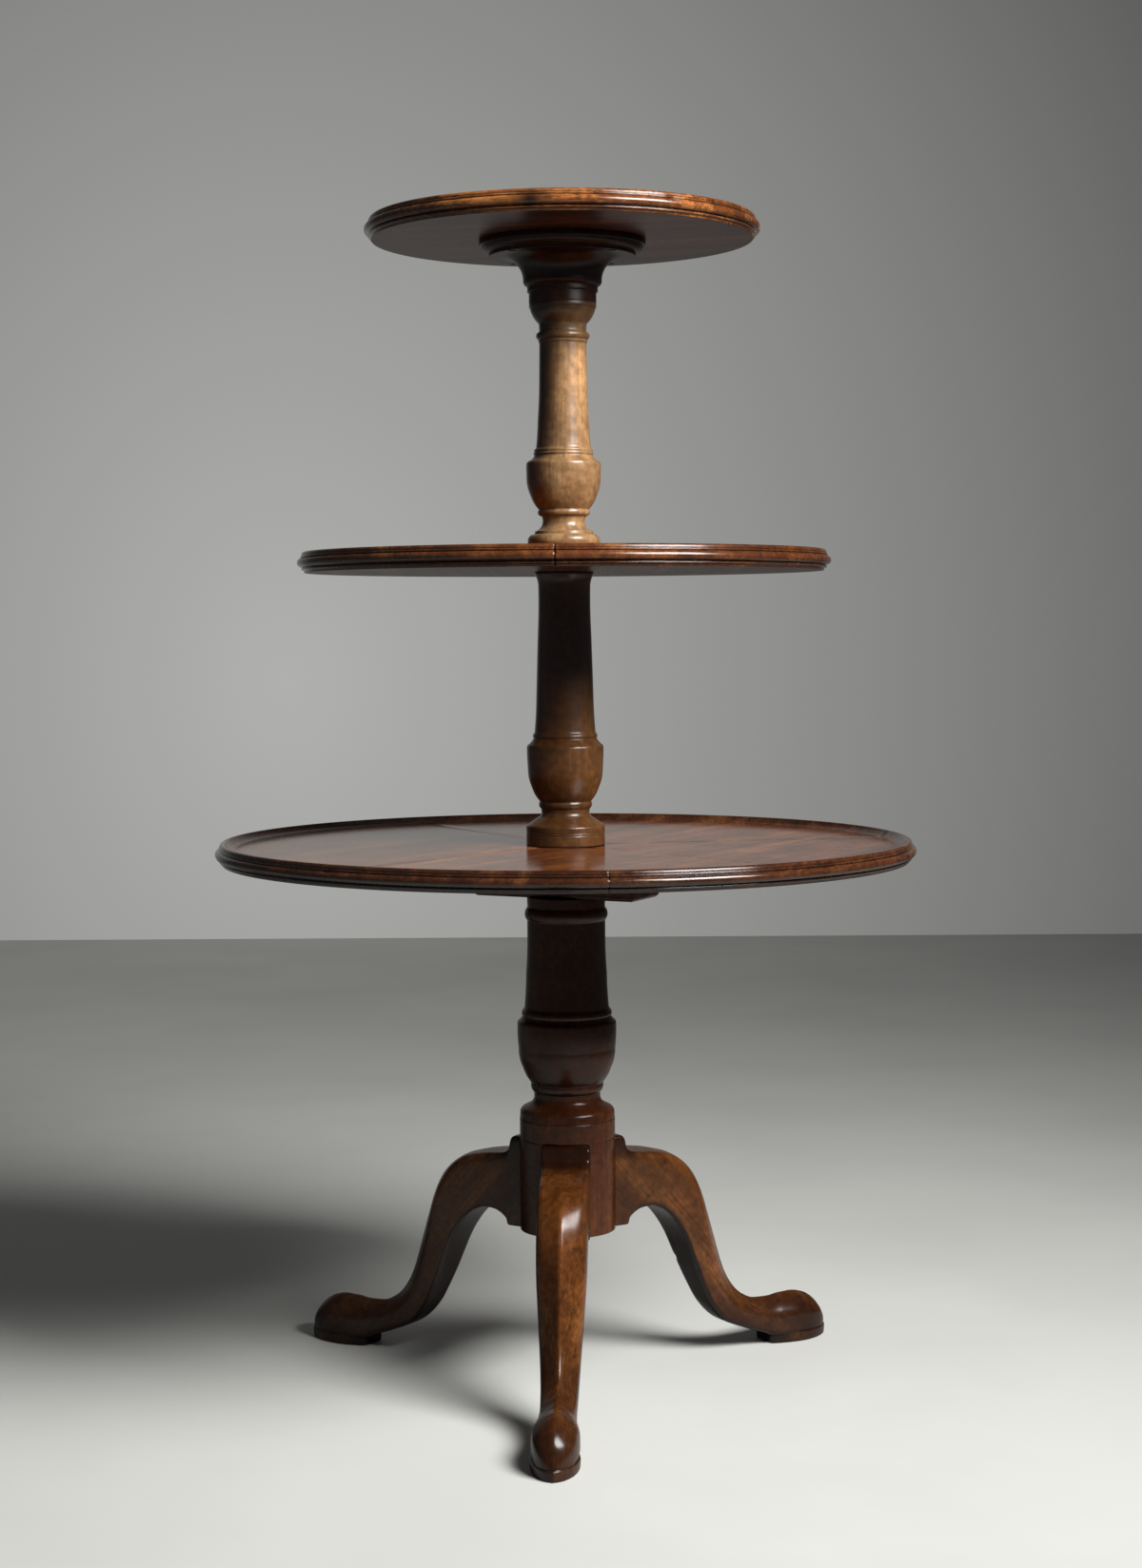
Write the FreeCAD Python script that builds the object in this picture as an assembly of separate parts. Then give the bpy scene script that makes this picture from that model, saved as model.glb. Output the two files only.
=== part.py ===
import FreeCAD, Part
import math
import os

# Three-tier revolving tray table. The origin is on the floor under the column axis, +Z is up and
# the front leg points towards -Y. All lengths are in millimetres.

# Trays
bottom_tray_radius = 305.0
middle_tray_radius = 231.5
top_tray_radius = 171.0
rim_height = 18.0
rim_width = 20.0
dish_depth = 5.7

# Lower column: a block that takes the legs and a turned shaft up to the shoulder under the bearer
column_underside = 135.0
leg_block_height = 81.0
leg_block_radius = 42.0
lower_shaft_height = 214.0
lower_shaft_radius = 43.5

# Bearer under the bottom tray
bearer_length = 154.0
bearer_width = 54.0
bearer_thickness = 32.8
bearer_edge_chamfer = 2.0
bearer_angle_deg = -26.0

# Middle column, upper column and the flange of the top tray
middle_column_height = 238.1
middle_column_radius = 34.4
upper_column_height = 218.9
upper_column_radius = 32.5
flange_height = 54.0
flange_radius = 72.0

# Round pins that join the column sections and carry the trays
lower_pin_radius = 15.0
middle_pin_radius = 12.0
upper_pin_radius = 10.0
joint_socket_depth = 24.0
upper_pin_length = 36.0
pin_end_chamfer = 1.0
pin_end_space = 1.5
socket_clearance = 0.05
turning_clearance = 0.35
plinth_clearance = 0.3

# Legs
leg_reach = 282.0
leg_thickness = 43.0
ear_length = 7.9
ear_nose_length = 3.5
ear_nose_drop = 5.0
ear_cove_length = 6.5
ear_cove_drop = 10.5
right_leg_angle_deg = 32.0
left_leg_angle_deg = 148.0
front_leg_angle_deg = 267.5

# Sole of each foot
sole_reach = 283.5
sole_height = 9.0
sole_half_width = 20.4

# Dovetails of the legs
dovetail_root_width = 14.0
dovetail_tip_width = 20.0
dovetail_depth = 16.0
dovetail_height = 69.0
dovetail_clearance = 0.05

# Iron plate under the column
plate_thickness = 3.0
plate_arm_width = 20.0
plate_end_inset = 2.0
plate_screw_inset = 8.0

# Screws: shank, head and where they sit
plate_screw_radius = 2.2
plate_screw_length = 22.0
plate_screw_head_radius = 4.2
plate_screw_head_height = 2.2
bearer_screw_radius = 2.2
bearer_screw_length = 32.0
bearer_screw_head_radius = 4.2
bearer_screw_head_height = 2.6
bearer_screw_pocket_depth = 8.0
bearer_screw_pocket_radius = 5.0
bearer_screw_spread_long = 116.0
bearer_screw_spread_wide = 30.0
flange_screw_radius = 1.7
flange_screw_length = 20.0
flange_screw_head_radius = 3.2
flange_screw_head_height = 1.8
flange_screw_pocket_depth = 2.4
flange_screw_pocket_radius = 3.8
flange_screw_circle_radius = 59.2
flange_screw_count = 4
flange_screw_first_angle_deg = 45.0
screw_hole_clearance = 0.05
screw_slot_width = 0.8
screw_slot_depth = 0.9

# The ears of the legs reach the top of the block
leg_height = column_underside + leg_block_height

# How far cutting bodies run past what they cut
overrun = 5.0

# Turned outlines from the underside up. Each row gives the height share, the radius share and
# the bulge share of the chord that ends there: above zero is round outwards, below zero is
# hollow, zero is straight.
leg_block_share = leg_block_radius / lower_shaft_radius
lower_shaft_shares = [
    (0.0, leg_block_share, 0.0),
    (0.0026, 0.951, 0.0),
    (0.0051, leg_block_share, 0.0),
    (0.0818, leg_block_share, 0.0),
    (0.0841, 0.945, 0.0),
    (0.0864, 0.961, 0.0),
    (0.1145, 0.954, 0.0),
    (0.1332, 0.862, 0.12),
    (0.1449, 0.752, 0.0),
    (0.1799, 0.671, -0.15),
    (0.1916, 0.671, 0.0),
    (0.2313, 0.729, 0.15),
    (0.2944, 0.899, 0.05),
    (0.3738, 0.979, 0.06),
    (0.4743, 1.0, 0.02),
    (0.4907, 0.961, 0.15),
    (0.5093, 0.9, -0.1),
    (0.5327, 0.89, 0.15),
    (0.5491, 0.851, -0.1),
    (0.6822, 0.818, -0.01),
    (0.8411, 0.789, -0.01),
    (0.9019, 0.789, 0.0),
    (0.9556, 0.784, 0.2),
    (1.0, 0.793, 0.0),
]
middle_column_shares = [
    (0.0, 1.0, 0.0),
    (0.0386, 1.0, 0.0),
    (0.0403, 0.985, 0.0),
    (0.042, 1.0, 0.0),
    (0.047, 1.0, 0.0),
    (0.0487, 0.985, 0.0),
    (0.0504, 1.0, 0.0),
    (0.0634, 1.0, 0.0),
    (0.0743, 0.965, 0.2),
    (0.0991, 0.727, 0.0),
    (0.1201, 0.608, -0.15),
    (0.1327, 0.62, 0.0),
    (0.1604, 0.654, 0.2),
    (0.2104, 0.852, 0.06),
    (0.2797, 0.955, 0.06),
    (0.3574, 0.977, 0.01),
    (0.3704, 0.922, 0.15),
    (0.3923, 0.802, -0.05),
    (0.4095, 0.797, 0.2),
    (0.4192, 0.773, -0.1),
    (0.5443, 0.728, -0.01),
    (0.7753, 0.681, 0.0),
    (0.9538, 0.662, -0.01),
    (0.9908, 0.741, -0.05),
    (1.0, 0.741, 0.0),
]
upper_column_shares = [
    (0.0, 0.985, 0.0),
    (0.038, 0.985, 0.0),
    (0.038, 0.852, 0.0),
    (0.041, 0.852, 0.0),
    (0.091, 0.852, 0.36),
    (0.091, 0.788, 0.0),
    (0.104, 0.775, 0.0),
    (0.145, 0.569, -0.18),
    (0.164, 0.603, -0.08),
    (0.189, 0.667, 0.35),
    (0.247, 0.898, 0.06),
    (0.324, 0.994, 0.06),
    (0.367, 1.0, 0.01),
    (0.3815, 0.929, 0.15),
    (0.4034, 0.782, -0.12),
    (0.416, 0.775, 0.3),
    (0.429, 0.751, 0.3),
    (0.438, 0.729, -0.1),
    (0.548, 0.683, -0.01),
    (0.703, 0.64, -0.01),
    (0.846, 0.628, 0.0),
    (0.846, 0.649, 0.0),
    (0.858, 0.649, 0.0),
    (0.889, 0.631, 0.36),
    (0.9205, 0.64, -0.02),
    (0.975, 0.868, 0.07),
    (0.983, 0.874, 0.0),
    (0.983, 0.898, 0.0),
    (1.0, 0.898, 0.0),
]
flange_seat_share = 0.74
flange_shares = [
    (0.0, 0.406, 0.0),
    (0.1815, 0.406, 0.0),
    (0.1815, 0.425, 0.0),
    (0.269, 0.425, 0.0),
    (0.343, 0.474, 0.15),
    (flange_seat_share, 0.764, -0.22),
    (flange_seat_share, 0.882, 0.0),
    (0.8, 0.882, 0.0),
    (0.907, 0.972, 0.2),
    (0.907, 1.0, 0.0),
    (1.0, 1.0, 0.0),
]

# Rim of every tray, from the underside round the outside and over into the dish: height share
# of the rim height, inset share of the rim width, bulge share of the chord.
rim_shares = [
    (0.0, 0.3, 0.0),
    (0.12, 0.24, -0.2),
    (0.12, 0.22, 0.0),
    (0.235, 0.22, 0.4),
    (0.25, 0.25, 0.0),
    (0.265, 0.15, 0.0),
    (0.69, 0.15, 0.4),
    (0.705, 0.2, 0.0),
    (0.715, 0.18, 0.0),
    (0.81, 0.19, 0.4),
    (0.82, 0.22, 0.0),
    (0.83, 0.19, 0.0),
    (1.0, 0.31, 0.2),
    (1.0, 0.37, 0.0),
    (0.95, 0.42, 0.2),
]
dish_cove_bulge_share = -0.15

# Side view of a leg: reach share and height share, along the underside from the bracket to the
# heel, then back from the toe to the knee along the ridge and along the two edges beside it.
bracket_share = column_underside / leg_height
leg_underside_shares = [
    (0.1786, bracket_share),
    (0.207, 0.671),
    (0.268, 0.6875),
    (0.346, 0.634),
    (0.407, 0.523),
    (0.475, 0.319),
    (0.546, 0.162),
    (0.643, 0.097),
    (0.746, 0.042),
]
leg_heel_share = 0.757
leg_ridge_shares = [
    (0.9946, 0.053),
    (0.961, 0.167),
    (0.857, 0.201),
    (0.718, 0.195),
    (0.62, 0.287),
    (0.5714, 0.435),
    (0.53, 0.602),
    (0.468, 0.796),
    (0.35, 0.899),
]
leg_edge_shares = [
    (0.964, 0.053),
    (0.936, 0.102),
    (0.85, 0.13),
    (0.696, 0.167),
    (0.593, 0.273),
    (0.546, 0.435),
    (0.518, 0.602),
    (0.466, 0.794),
    (0.35, 0.899),
]
quarter_round_bulge_share = 0.207

# Thickness of a leg: height share and half width share seen from the front, then reach share
# and half width share seen from above.
leg_front_view_shares = [
    (0.6, 1.0),
    (0.45, 0.87),
    (0.34, 0.75),
    (0.21, 0.67),
    (0.16, 0.78),
    (0.1, 0.93),
]
leg_plan_shares = [
    (0.5, 1.0),
    (0.57, 0.84),
    (0.64, 0.68),
    (0.714, 0.65),
    (0.77, 0.72),
    (0.82, 0.86),
    (0.875, 0.91),
    (0.93, 0.82),
    (0.975, 0.5),
    (0.996, 0.0),
]

# Sole seen from above: reach share and half width share.
sole_shares = [
    (0.755, 0.62),
    (0.8, 0.84),
    (0.872, 1.0),
    (0.93, 0.86),
    (0.977, 0.5),
    (1.0, 0.0),
]

# Places worked out from the sizes above
bearer_underside = leg_height + lower_shaft_height
bottom_tray_underside = bearer_underside + bearer_thickness
floor_thickness = rim_height - dish_depth
middle_column_underside = bottom_tray_underside + floor_thickness + plinth_clearance
middle_tray_underside = middle_column_underside + middle_column_height
upper_column_underside = middle_tray_underside + floor_thickness + plinth_clearance
flange_underside = upper_column_underside + upper_column_height
top_tray_underside = flange_underside + flange_height
plate_underside = column_underside - plate_thickness
leg_half_thickness = leg_thickness / 2
leg_seat = math.sqrt(leg_block_radius ** 2 - leg_half_thickness ** 2)
plate_arm_reach = leg_seat - plate_end_inset
plate_screw_distance = leg_seat - plate_screw_inset
leg_angles_deg = {
    "leg_right": right_leg_angle_deg,
    "leg_left": left_leg_angle_deg,
    "leg_front": front_leg_angle_deg,
}
up = FreeCAD.Vector(0, 0, 1)
origin = FreeCAD.Vector(0, 0, 0)


def at_height(z):
    """Point on the column axis."""
    return FreeCAD.Vector(0, 0, z)


def outline_piece(start, end, bulge_share):
    """Line in a plane of constant Y, or an arc that bulges to the right of the way."""
    if bulge_share == 0:
        return Part.makeLine(start, end)
    chord = end - start
    right = FreeCAD.Vector(chord.z, 0, -chord.x)
    middle = (start + end) / 2 + right * bulge_share
    return Part.Arc(start, middle, end).toShape()


def smooth_curve(points):
    """Smooth curve through points."""
    curve = Part.BSplineCurve()
    curve.interpolate(points)
    return curve.toShape()


def turned(rows):
    """Solid turned about the column axis from rows of radius, height and bulge share."""
    points = [FreeCAD.Vector(radius, 0, z) for radius, z, bulge_share in rows]
    edges = []
    for index in range(1, len(rows)):
        edges.append(outline_piece(points[index - 1], points[index], rows[index][2]))
    edges.append(Part.makeLine(points[-1], points[0]))
    return Part.Face(Part.Wire(edges)).revolve(origin, up, 360)


def scaled_rows(shares, underside, height, radius):
    """Rows of a turned outline from its shares."""
    return [(radius * r, underside + height * z, bulge_share) for z, r, bulge_share in shares]


def pin_rows(shoulder, radius, end):
    """Rows of the pin that stands on a shoulder, ending on the axis."""
    return [
        (radius, shoulder, 0),
        (radius, end - pin_end_chamfer, 0),
        (radius - pin_end_chamfer, end, 0),
        (0, end, 0),
    ]


def socket_rows(underside, radius, end):
    """Rows of a socket in an underside, starting on the axis."""
    return [(0, end, 0), (radius, end, 0), (radius, underside, 0)]


def screw(radius, length, head_radius, head_height):
    """Slotted screw that points up, with the seat of its head at the origin."""
    head = Part.makeCylinder(head_radius, head_height, at_height(-head_height))
    shank = Part.makeCylinder(radius, length - radius)
    point = Part.makeCone(radius, 0, radius, at_height(length - radius))
    slot_corner = FreeCAD.Vector(-head_radius, -screw_slot_width / 2, -head_height)
    slot = Part.makeBox(head_radius * 2, screw_slot_width, screw_slot_depth, slot_corner)
    return head.fuse([shank, point]).removeSplitter().cut(slot)


def screw_hole(radius, length):
    """Hole for the shank of a screw, running past its seat."""
    hole_radius = radius + screw_hole_clearance
    straight = length - radius
    shank = Part.makeCylinder(hole_radius, straight + overrun, at_height(-overrun))
    point = Part.makeCone(hole_radius, 0, hole_radius, at_height(straight))
    return shank.fuse(point)


def screw_pocket(radius, depth):
    """Round pocket below the seat of a screw's head."""
    return Part.makeCylinder(radius, depth, at_height(-depth))


def copies(shape, places):
    """Copies of a shape moved to each place."""
    moved = []
    for place in places:
        copy = shape.copy()
        copy.translate(place)
        moved.append(copy)
    return moved


def turned_to(shape, angle_deg):
    """Copy of a shape turned about the column axis."""
    copy = shape.copy()
    copy.rotate(origin, up, angle_deg)
    return copy


def on_circle(radius, angle_deg, z):
    """Point at a radius and an angle about the column axis."""
    angle = math.radians(angle_deg)
    return FreeCAD.Vector(radius * math.cos(angle), radius * math.sin(angle), z)


# Places of the screws, at the seats of their heads
plate_screw_places = [at_height(plate_underside)]
for leg_angle_deg in leg_angles_deg.values():
    plate_screw_places.append(on_circle(plate_screw_distance, leg_angle_deg, plate_underside))

bearer_screw_places = []
for long_side in (-1, 1):
    for wide_side in (-1, 1):
        bearer_screw_places.append(FreeCAD.Vector(
            long_side * bearer_screw_spread_long / 2,
            wide_side * bearer_screw_spread_wide / 2,
            bearer_underside + bearer_screw_pocket_depth,
        ))

flange_screw_places = []
for number in range(flange_screw_count):
    screw_angle_deg = flange_screw_first_angle_deg + 360 * number / flange_screw_count
    screw_seat = flange_underside + flange_height * flange_seat_share + flange_screw_pocket_depth
    flange_screw_places.append(on_circle(flange_screw_circle_radius, screw_angle_deg, screw_seat))

plate_screw_holes = copies(screw_hole(plate_screw_radius, plate_screw_length), plate_screw_places)
bearer_screw_holes = copies(screw_hole(bearer_screw_radius, bearer_screw_length), bearer_screw_places)
flange_screw_holes = copies(screw_hole(flange_screw_radius, flange_screw_length), flange_screw_places)


def tray(radius, underside, bore_radius):
    """Dished round tray with a reeded rim. A bore radius of zero leaves the floor whole."""
    rows = []
    for z, inset, bulge_share in rim_shares:
        rows.append((radius - rim_width * inset, underside + rim_height * z, bulge_share))
    floor = underside + floor_thickness
    rows.append((radius - rim_width, floor, dish_cove_bulge_share))
    rows.append((bore_radius, floor, 0))
    rows.append((bore_radius, underside, 0))
    return turned(rows)


def dovetail(clearance, start, end):
    """Dovetail tongue of a leg along +X, running past the seat, between two heights."""
    root = dovetail_root_width / 2 + clearance
    tip = dovetail_tip_width / 2 + clearance
    tip_distance = leg_seat - dovetail_depth - clearance
    outside = root - (tip - root) * overrun / (leg_seat - tip_distance)
    corners = [
        FreeCAD.Vector(leg_seat + overrun, -outside, start),
        FreeCAD.Vector(leg_seat + overrun, outside, start),
        FreeCAD.Vector(tip_distance, tip, start),
        FreeCAD.Vector(tip_distance, -tip, start),
    ]
    return Part.Face(Part.makePolygon(corners + corners[:1])).extrude(at_height(end - start))


def leg_side_outline(front_shares, side):
    """Side outline of a leg in a plane beside its middle, bracket to heel to toe to ear."""
    def point(reach, z):
        return FreeCAD.Vector(reach, side, z)

    under = [point(leg_reach * u, leg_height * z) for u, z in leg_underside_shares]
    front = [point(leg_reach * u, leg_height * z) for u, z in front_shares]
    ear_reach = leg_seat + ear_length
    nose_height = leg_height - ear_nose_drop
    nose_reach = ear_reach + ear_nose_length
    front.append(point(nose_reach + ear_cove_length, nose_height - ear_cove_drop))
    seat_low = point(leg_seat, under[0].z)
    heel = point(leg_reach * leg_heel_share, 0)
    toe = point(front[0].x, 0)
    ear_nose = point(nose_reach, nose_height)
    ear_top = point(ear_reach, leg_height)
    seat_high = point(leg_seat, leg_height)
    return Part.Wire([
        Part.makeLine(seat_low, under[0]),
        smooth_curve(under),
        Part.makeLine(under[-1], heel),
        Part.makeLine(heel, toe),
        Part.makeLine(toe, front[0]),
        smooth_curve(front),
        outline_piece(front[-1], ear_nose, -quarter_round_bulge_share),
        outline_piece(ear_nose, ear_top, quarter_round_bulge_share),
        Part.makeLine(ear_top, seat_high),
        Part.makeLine(seat_high, seat_low),
    ])


def leg_front_view():
    """Body as thick as the leg is at each height, seen from the front."""
    edges = []
    for side in (-1, 1):
        width = side * leg_half_thickness
        curve = [FreeCAD.Vector(0, width * w, leg_height * z) for z, w in leg_front_view_shares]
        high = FreeCAD.Vector(0, width, leg_height + overrun)
        low = FreeCAD.Vector(0, curve[-1].y, -overrun)
        edges.append(Part.makeLine(high, curve[0]))
        edges.append(smooth_curve(curve))
        edges.append(Part.makeLine(curve[-1], low))
        edges.append(Part.makeLine(low, FreeCAD.Vector(0, 0, low.z)))
        edges.append(Part.makeLine(FreeCAD.Vector(0, 0, high.z), high))
    face = Part.Face(Part.Wire(Part.__sortEdges__(edges)))
    return face.extrude(FreeCAD.Vector(leg_reach + overrun, 0, 0))


def leg_plan():
    """Body as thick as the leg is at each reach, seen from above."""
    edges = []
    for side in (-1, 1):
        width = side * leg_half_thickness
        curve = [FreeCAD.Vector(leg_reach * u, width * w, 0) for u, w in leg_plan_shares]
        start = FreeCAD.Vector(0, width, 0)
        edges.append(Part.makeLine(origin, start))
        edges.append(Part.makeLine(start, curve[0]))
        edges.append(smooth_curve(curve))
    face = Part.Face(Part.Wire(Part.__sortEdges__(edges)))
    return face.extrude(at_height(leg_height + overrun))


def sole():
    """Flat sole that stands a little proud all round the foot."""
    edges = []
    for side in (-1, 1):
        width = side * sole_half_width
        curve = [FreeCAD.Vector(sole_reach * u, width * w, 0) for u, w in sole_shares]
        edges.append(smooth_curve(curve))
        edges.append(Part.makeLine(curve[0], FreeCAD.Vector(curve[0].x, 0, 0)))
    face = Part.Face(Part.Wire(Part.__sortEdges__(edges)))
    return face.extrude(at_height(sole_height))


def leg():
    """Cabriole leg along +X with its pad foot and dovetail tongue."""
    outlines = [
        leg_side_outline(leg_edge_shares, -leg_half_thickness - overrun),
        leg_side_outline(leg_ridge_shares, 0),
        leg_side_outline(leg_edge_shares, leg_half_thickness + overrun),
    ]
    body = Part.makeLoft(outlines, True, True)
    body = body.common(leg_front_view()).common(leg_plan())
    tongue = dovetail(0, column_underside, column_underside + dovetail_height)
    return body.fuse([sole(), tongue]).removeSplitter()


def leg_housing():
    """What is cut from the column for a leg along +X: a flat seat and a dovetail housing."""
    seat_corner = FreeCAD.Vector(leg_seat, -leg_block_radius, column_underside - overrun)
    seat_height = leg_height - seat_corner.z
    seat = Part.makeBox(leg_block_radius, leg_block_radius * 2, seat_height, seat_corner)
    housing_top = column_underside + dovetail_height + dovetail_clearance
    return seat.fuse(dovetail(dovetail_clearance, column_underside - overrun, housing_top))


def lower_column():
    """Lower column with the leg housings below and a pin above."""
    rows = [(0, column_underside, 0), (leg_block_radius, column_underside, 0)]
    rows += scaled_rows(lower_shaft_shares, leg_height, lower_shaft_height, lower_shaft_radius)
    rows += pin_rows(bearer_underside, lower_pin_radius, middle_column_underside + joint_socket_depth)
    body = turned(rows)
    for angle_deg in leg_angles_deg.values():
        body = body.cut(turned_to(leg_housing(), angle_deg))
    return body.cut(plate_screw_holes[0])


def middle_column():
    """Middle column with a socket below and a pin above."""
    underside = middle_column_underside
    socket_radius = lower_pin_radius + socket_clearance
    rows = socket_rows(underside, socket_radius, underside + joint_socket_depth)
    rows += scaled_rows(middle_column_shares, underside, middle_column_height, middle_column_radius)
    rows += pin_rows(middle_tray_underside, middle_pin_radius, upper_column_underside + joint_socket_depth)
    return turned(rows)


def upper_column():
    """Upper column with a socket below and the pin of the top tray above."""
    underside = upper_column_underside
    socket_radius = middle_pin_radius + socket_clearance
    rows = socket_rows(underside, socket_radius, underside + joint_socket_depth)
    rows += scaled_rows(upper_column_shares, underside, upper_column_height, upper_column_radius)
    rows += pin_rows(flange_underside, upper_pin_radius, flange_underside + upper_pin_length)
    return turned(rows)


def top_tray_flange():
    """Trumpet flange that carries the top tray and turns on the upper pin."""
    bore_radius = upper_pin_radius + turning_clearance
    bore_end = flange_underside + upper_pin_length + pin_end_space
    rows = socket_rows(flange_underside, bore_radius, bore_end)
    rows += scaled_rows(flange_shares, flange_underside, flange_height, flange_radius)
    rows.append((0, top_tray_underside, 0))
    pocket = screw_pocket(flange_screw_pocket_radius, flange_screw_pocket_depth)
    return turned(rows).cut(flange_screw_holes + copies(pocket, flange_screw_places))


def bottom_tray_bearer():
    """Cleat across the underside of the bottom tray."""
    corner = FreeCAD.Vector(-bearer_length / 2, -bearer_width / 2, bearer_underside)
    body = Part.makeBox(bearer_length, bearer_width, bearer_thickness, corner)
    low_edges = [edge for edge in body.Edges if edge.BoundBox.ZMax < bottom_tray_underside]
    body = body.makeChamfer(bearer_edge_chamfer, low_edges)
    bore_radius = lower_pin_radius + turning_clearance
    bore = Part.makeCylinder(bore_radius, bearer_thickness, at_height(bearer_underside))
    pocket = screw_pocket(bearer_screw_pocket_radius, bearer_screw_pocket_depth)
    body = body.cut([bore] + bearer_screw_holes + copies(pocket, bearer_screw_places))
    return turned_to(body, bearer_angle_deg)


def bottom_tray():
    """Largest tray, with the holes of the bearer screws."""
    body = tray(bottom_tray_radius, bottom_tray_underside, lower_pin_radius + turning_clearance)
    return body.cut([turned_to(hole, bearer_angle_deg) for hole in bearer_screw_holes])


def middle_tray():
    """Middle tray."""
    return tray(middle_tray_radius, middle_tray_underside, middle_pin_radius + turning_clearance)


def top_tray():
    """Smallest tray, with a whole floor and the holes of the flange screws."""
    return tray(top_tray_radius, top_tray_underside, 0).cut(flange_screw_holes)


def column_plate():
    """Three-armed iron plate that closes the dovetail housings."""
    half_width = plate_arm_width / 2
    arm_end = plate_arm_reach - half_width
    arm = Part.makeBox(arm_end, plate_arm_width, plate_thickness, FreeCAD.Vector(0, -half_width, 0))
    arm = arm.fuse(Part.makeCylinder(half_width, plate_thickness, FreeCAD.Vector(arm_end, 0, 0)))
    arm.translate(at_height(plate_underside))
    arms = [turned_to(arm, angle_deg) for angle_deg in leg_angles_deg.values()]
    return arms[0].fuse(arms[1:]).removeSplitter().cut(plate_screw_holes)


def screws(radius, length, head_radius, head_height, places):
    """Group of equal screws."""
    return Part.makeCompound(copies(screw(radius, length, head_radius, head_height), places))


pieces = {
    "lower_column": lower_column(),
    "middle_column": middle_column(),
    "upper_column": upper_column(),
    "bottom_tray": bottom_tray(),
    "bottom_tray_bearer": bottom_tray_bearer(),
    "middle_tray": middle_tray(),
    "top_tray": top_tray(),
    "top_tray_flange": top_tray_flange(),
    "column_plate": column_plate(),
    "column_plate_screws": screws(
        plate_screw_radius, plate_screw_length,
        plate_screw_head_radius, plate_screw_head_height, plate_screw_places),
    "bearer_screws": turned_to(screws(
        bearer_screw_radius, bearer_screw_length,
        bearer_screw_head_radius, bearer_screw_head_height, bearer_screw_places), bearer_angle_deg),
    "flange_screws": screws(
        flange_screw_radius, flange_screw_length,
        flange_screw_head_radius, flange_screw_head_height, flange_screw_places),
}
for leg_name, leg_angle_deg in leg_angles_deg.items():
    pieces[leg_name] = turned_to(leg(), leg_angle_deg).cut(plate_screw_holes)

os.makedirs("parts", exist_ok=True)
for piece_name, piece_shape in pieces.items():
    piece_shape.exportStep("parts/" + piece_name + ".step")
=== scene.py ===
import math

import bpy
import numpy as np
from bpy.props import FloatProperty, FloatVectorProperty, PointerProperty
from mathutils import Matrix, Vector


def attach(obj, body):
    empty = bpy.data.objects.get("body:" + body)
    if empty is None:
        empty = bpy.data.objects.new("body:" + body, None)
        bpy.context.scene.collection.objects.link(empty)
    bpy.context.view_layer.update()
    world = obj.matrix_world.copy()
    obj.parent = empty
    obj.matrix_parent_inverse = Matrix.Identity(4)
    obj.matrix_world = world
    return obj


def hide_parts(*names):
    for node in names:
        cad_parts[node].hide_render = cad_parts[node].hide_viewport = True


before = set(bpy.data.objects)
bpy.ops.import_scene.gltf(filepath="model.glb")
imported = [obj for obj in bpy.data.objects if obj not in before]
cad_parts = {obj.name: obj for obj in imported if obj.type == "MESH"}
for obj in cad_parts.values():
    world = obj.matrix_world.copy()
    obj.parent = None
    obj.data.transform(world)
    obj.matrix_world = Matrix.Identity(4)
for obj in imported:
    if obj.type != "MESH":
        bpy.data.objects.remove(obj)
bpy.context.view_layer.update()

bl_info = {
    "name": "Tray table looks",
    "version": (1, 0, 0),
    "blender": (4, 5, 0),
    "location": "3D View > Sidebar > Tray table",
    "description": "Dresses a three-tier revolving tray table in waxed mahogany and forged iron",
    "category": "Object",
}

MM = 0.001


def linear(code):
    """Linear red, green and blue of an sRGB hex colour such as #5b321b."""
    shares = [int(code[start:start + 2], 16) / 255 for start in (1, 3, 5)]
    return tuple(c / 12.92 if c <= 0.04045 else ((c + 0.055) / 1.055) ** 2.4 for c in shares)


def colour(name, description, code):
    """Colour property whose default is a hex colour."""
    return FloatVectorProperty(
        name=name, description=description, default=linear(code), subtype="COLOR", min=0, max=1)


def length(name, description, millimetres):
    """Length property whose default is in millimetres."""
    return FloatProperty(
        name=name, description=description, default=millimetres * MM, min=0, unit="LENGTH",
        precision=5)


def place(name, description, metres):
    """Place property in metres."""
    return FloatVectorProperty(
        name=name, description=description, default=metres, subtype="TRANSLATION")


def share(name, description, value):
    """Property between nothing and all."""
    return FloatProperty(
        name=name, description=description, default=value, min=0, max=1, subtype="FACTOR")


def turn(name, description, degrees):
    """Angle property whose default is in degrees."""
    return FloatProperty(
        name=name, description=description, default=math.radians(degrees), subtype="ANGLE")


def power(name, description, watts):
    """Power property of a lamp."""
    return FloatProperty(name=name, description=description, default=watts, min=0, unit="POWER")


def coating(name, late_wood, pores, polish, gloss):
    """Finish property: how bright the dark bands are beside the middle tone, how dark pores and
    dents are, and the weight and the roughness of the clear wax layer."""
    return FloatVectorProperty(
        name=name, description="Late wood, pores, wax and roughness of the wax, each from 0 to 1",
        size=4, default=(late_wood, pores, polish, gloss), min=0, max=1)


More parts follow.
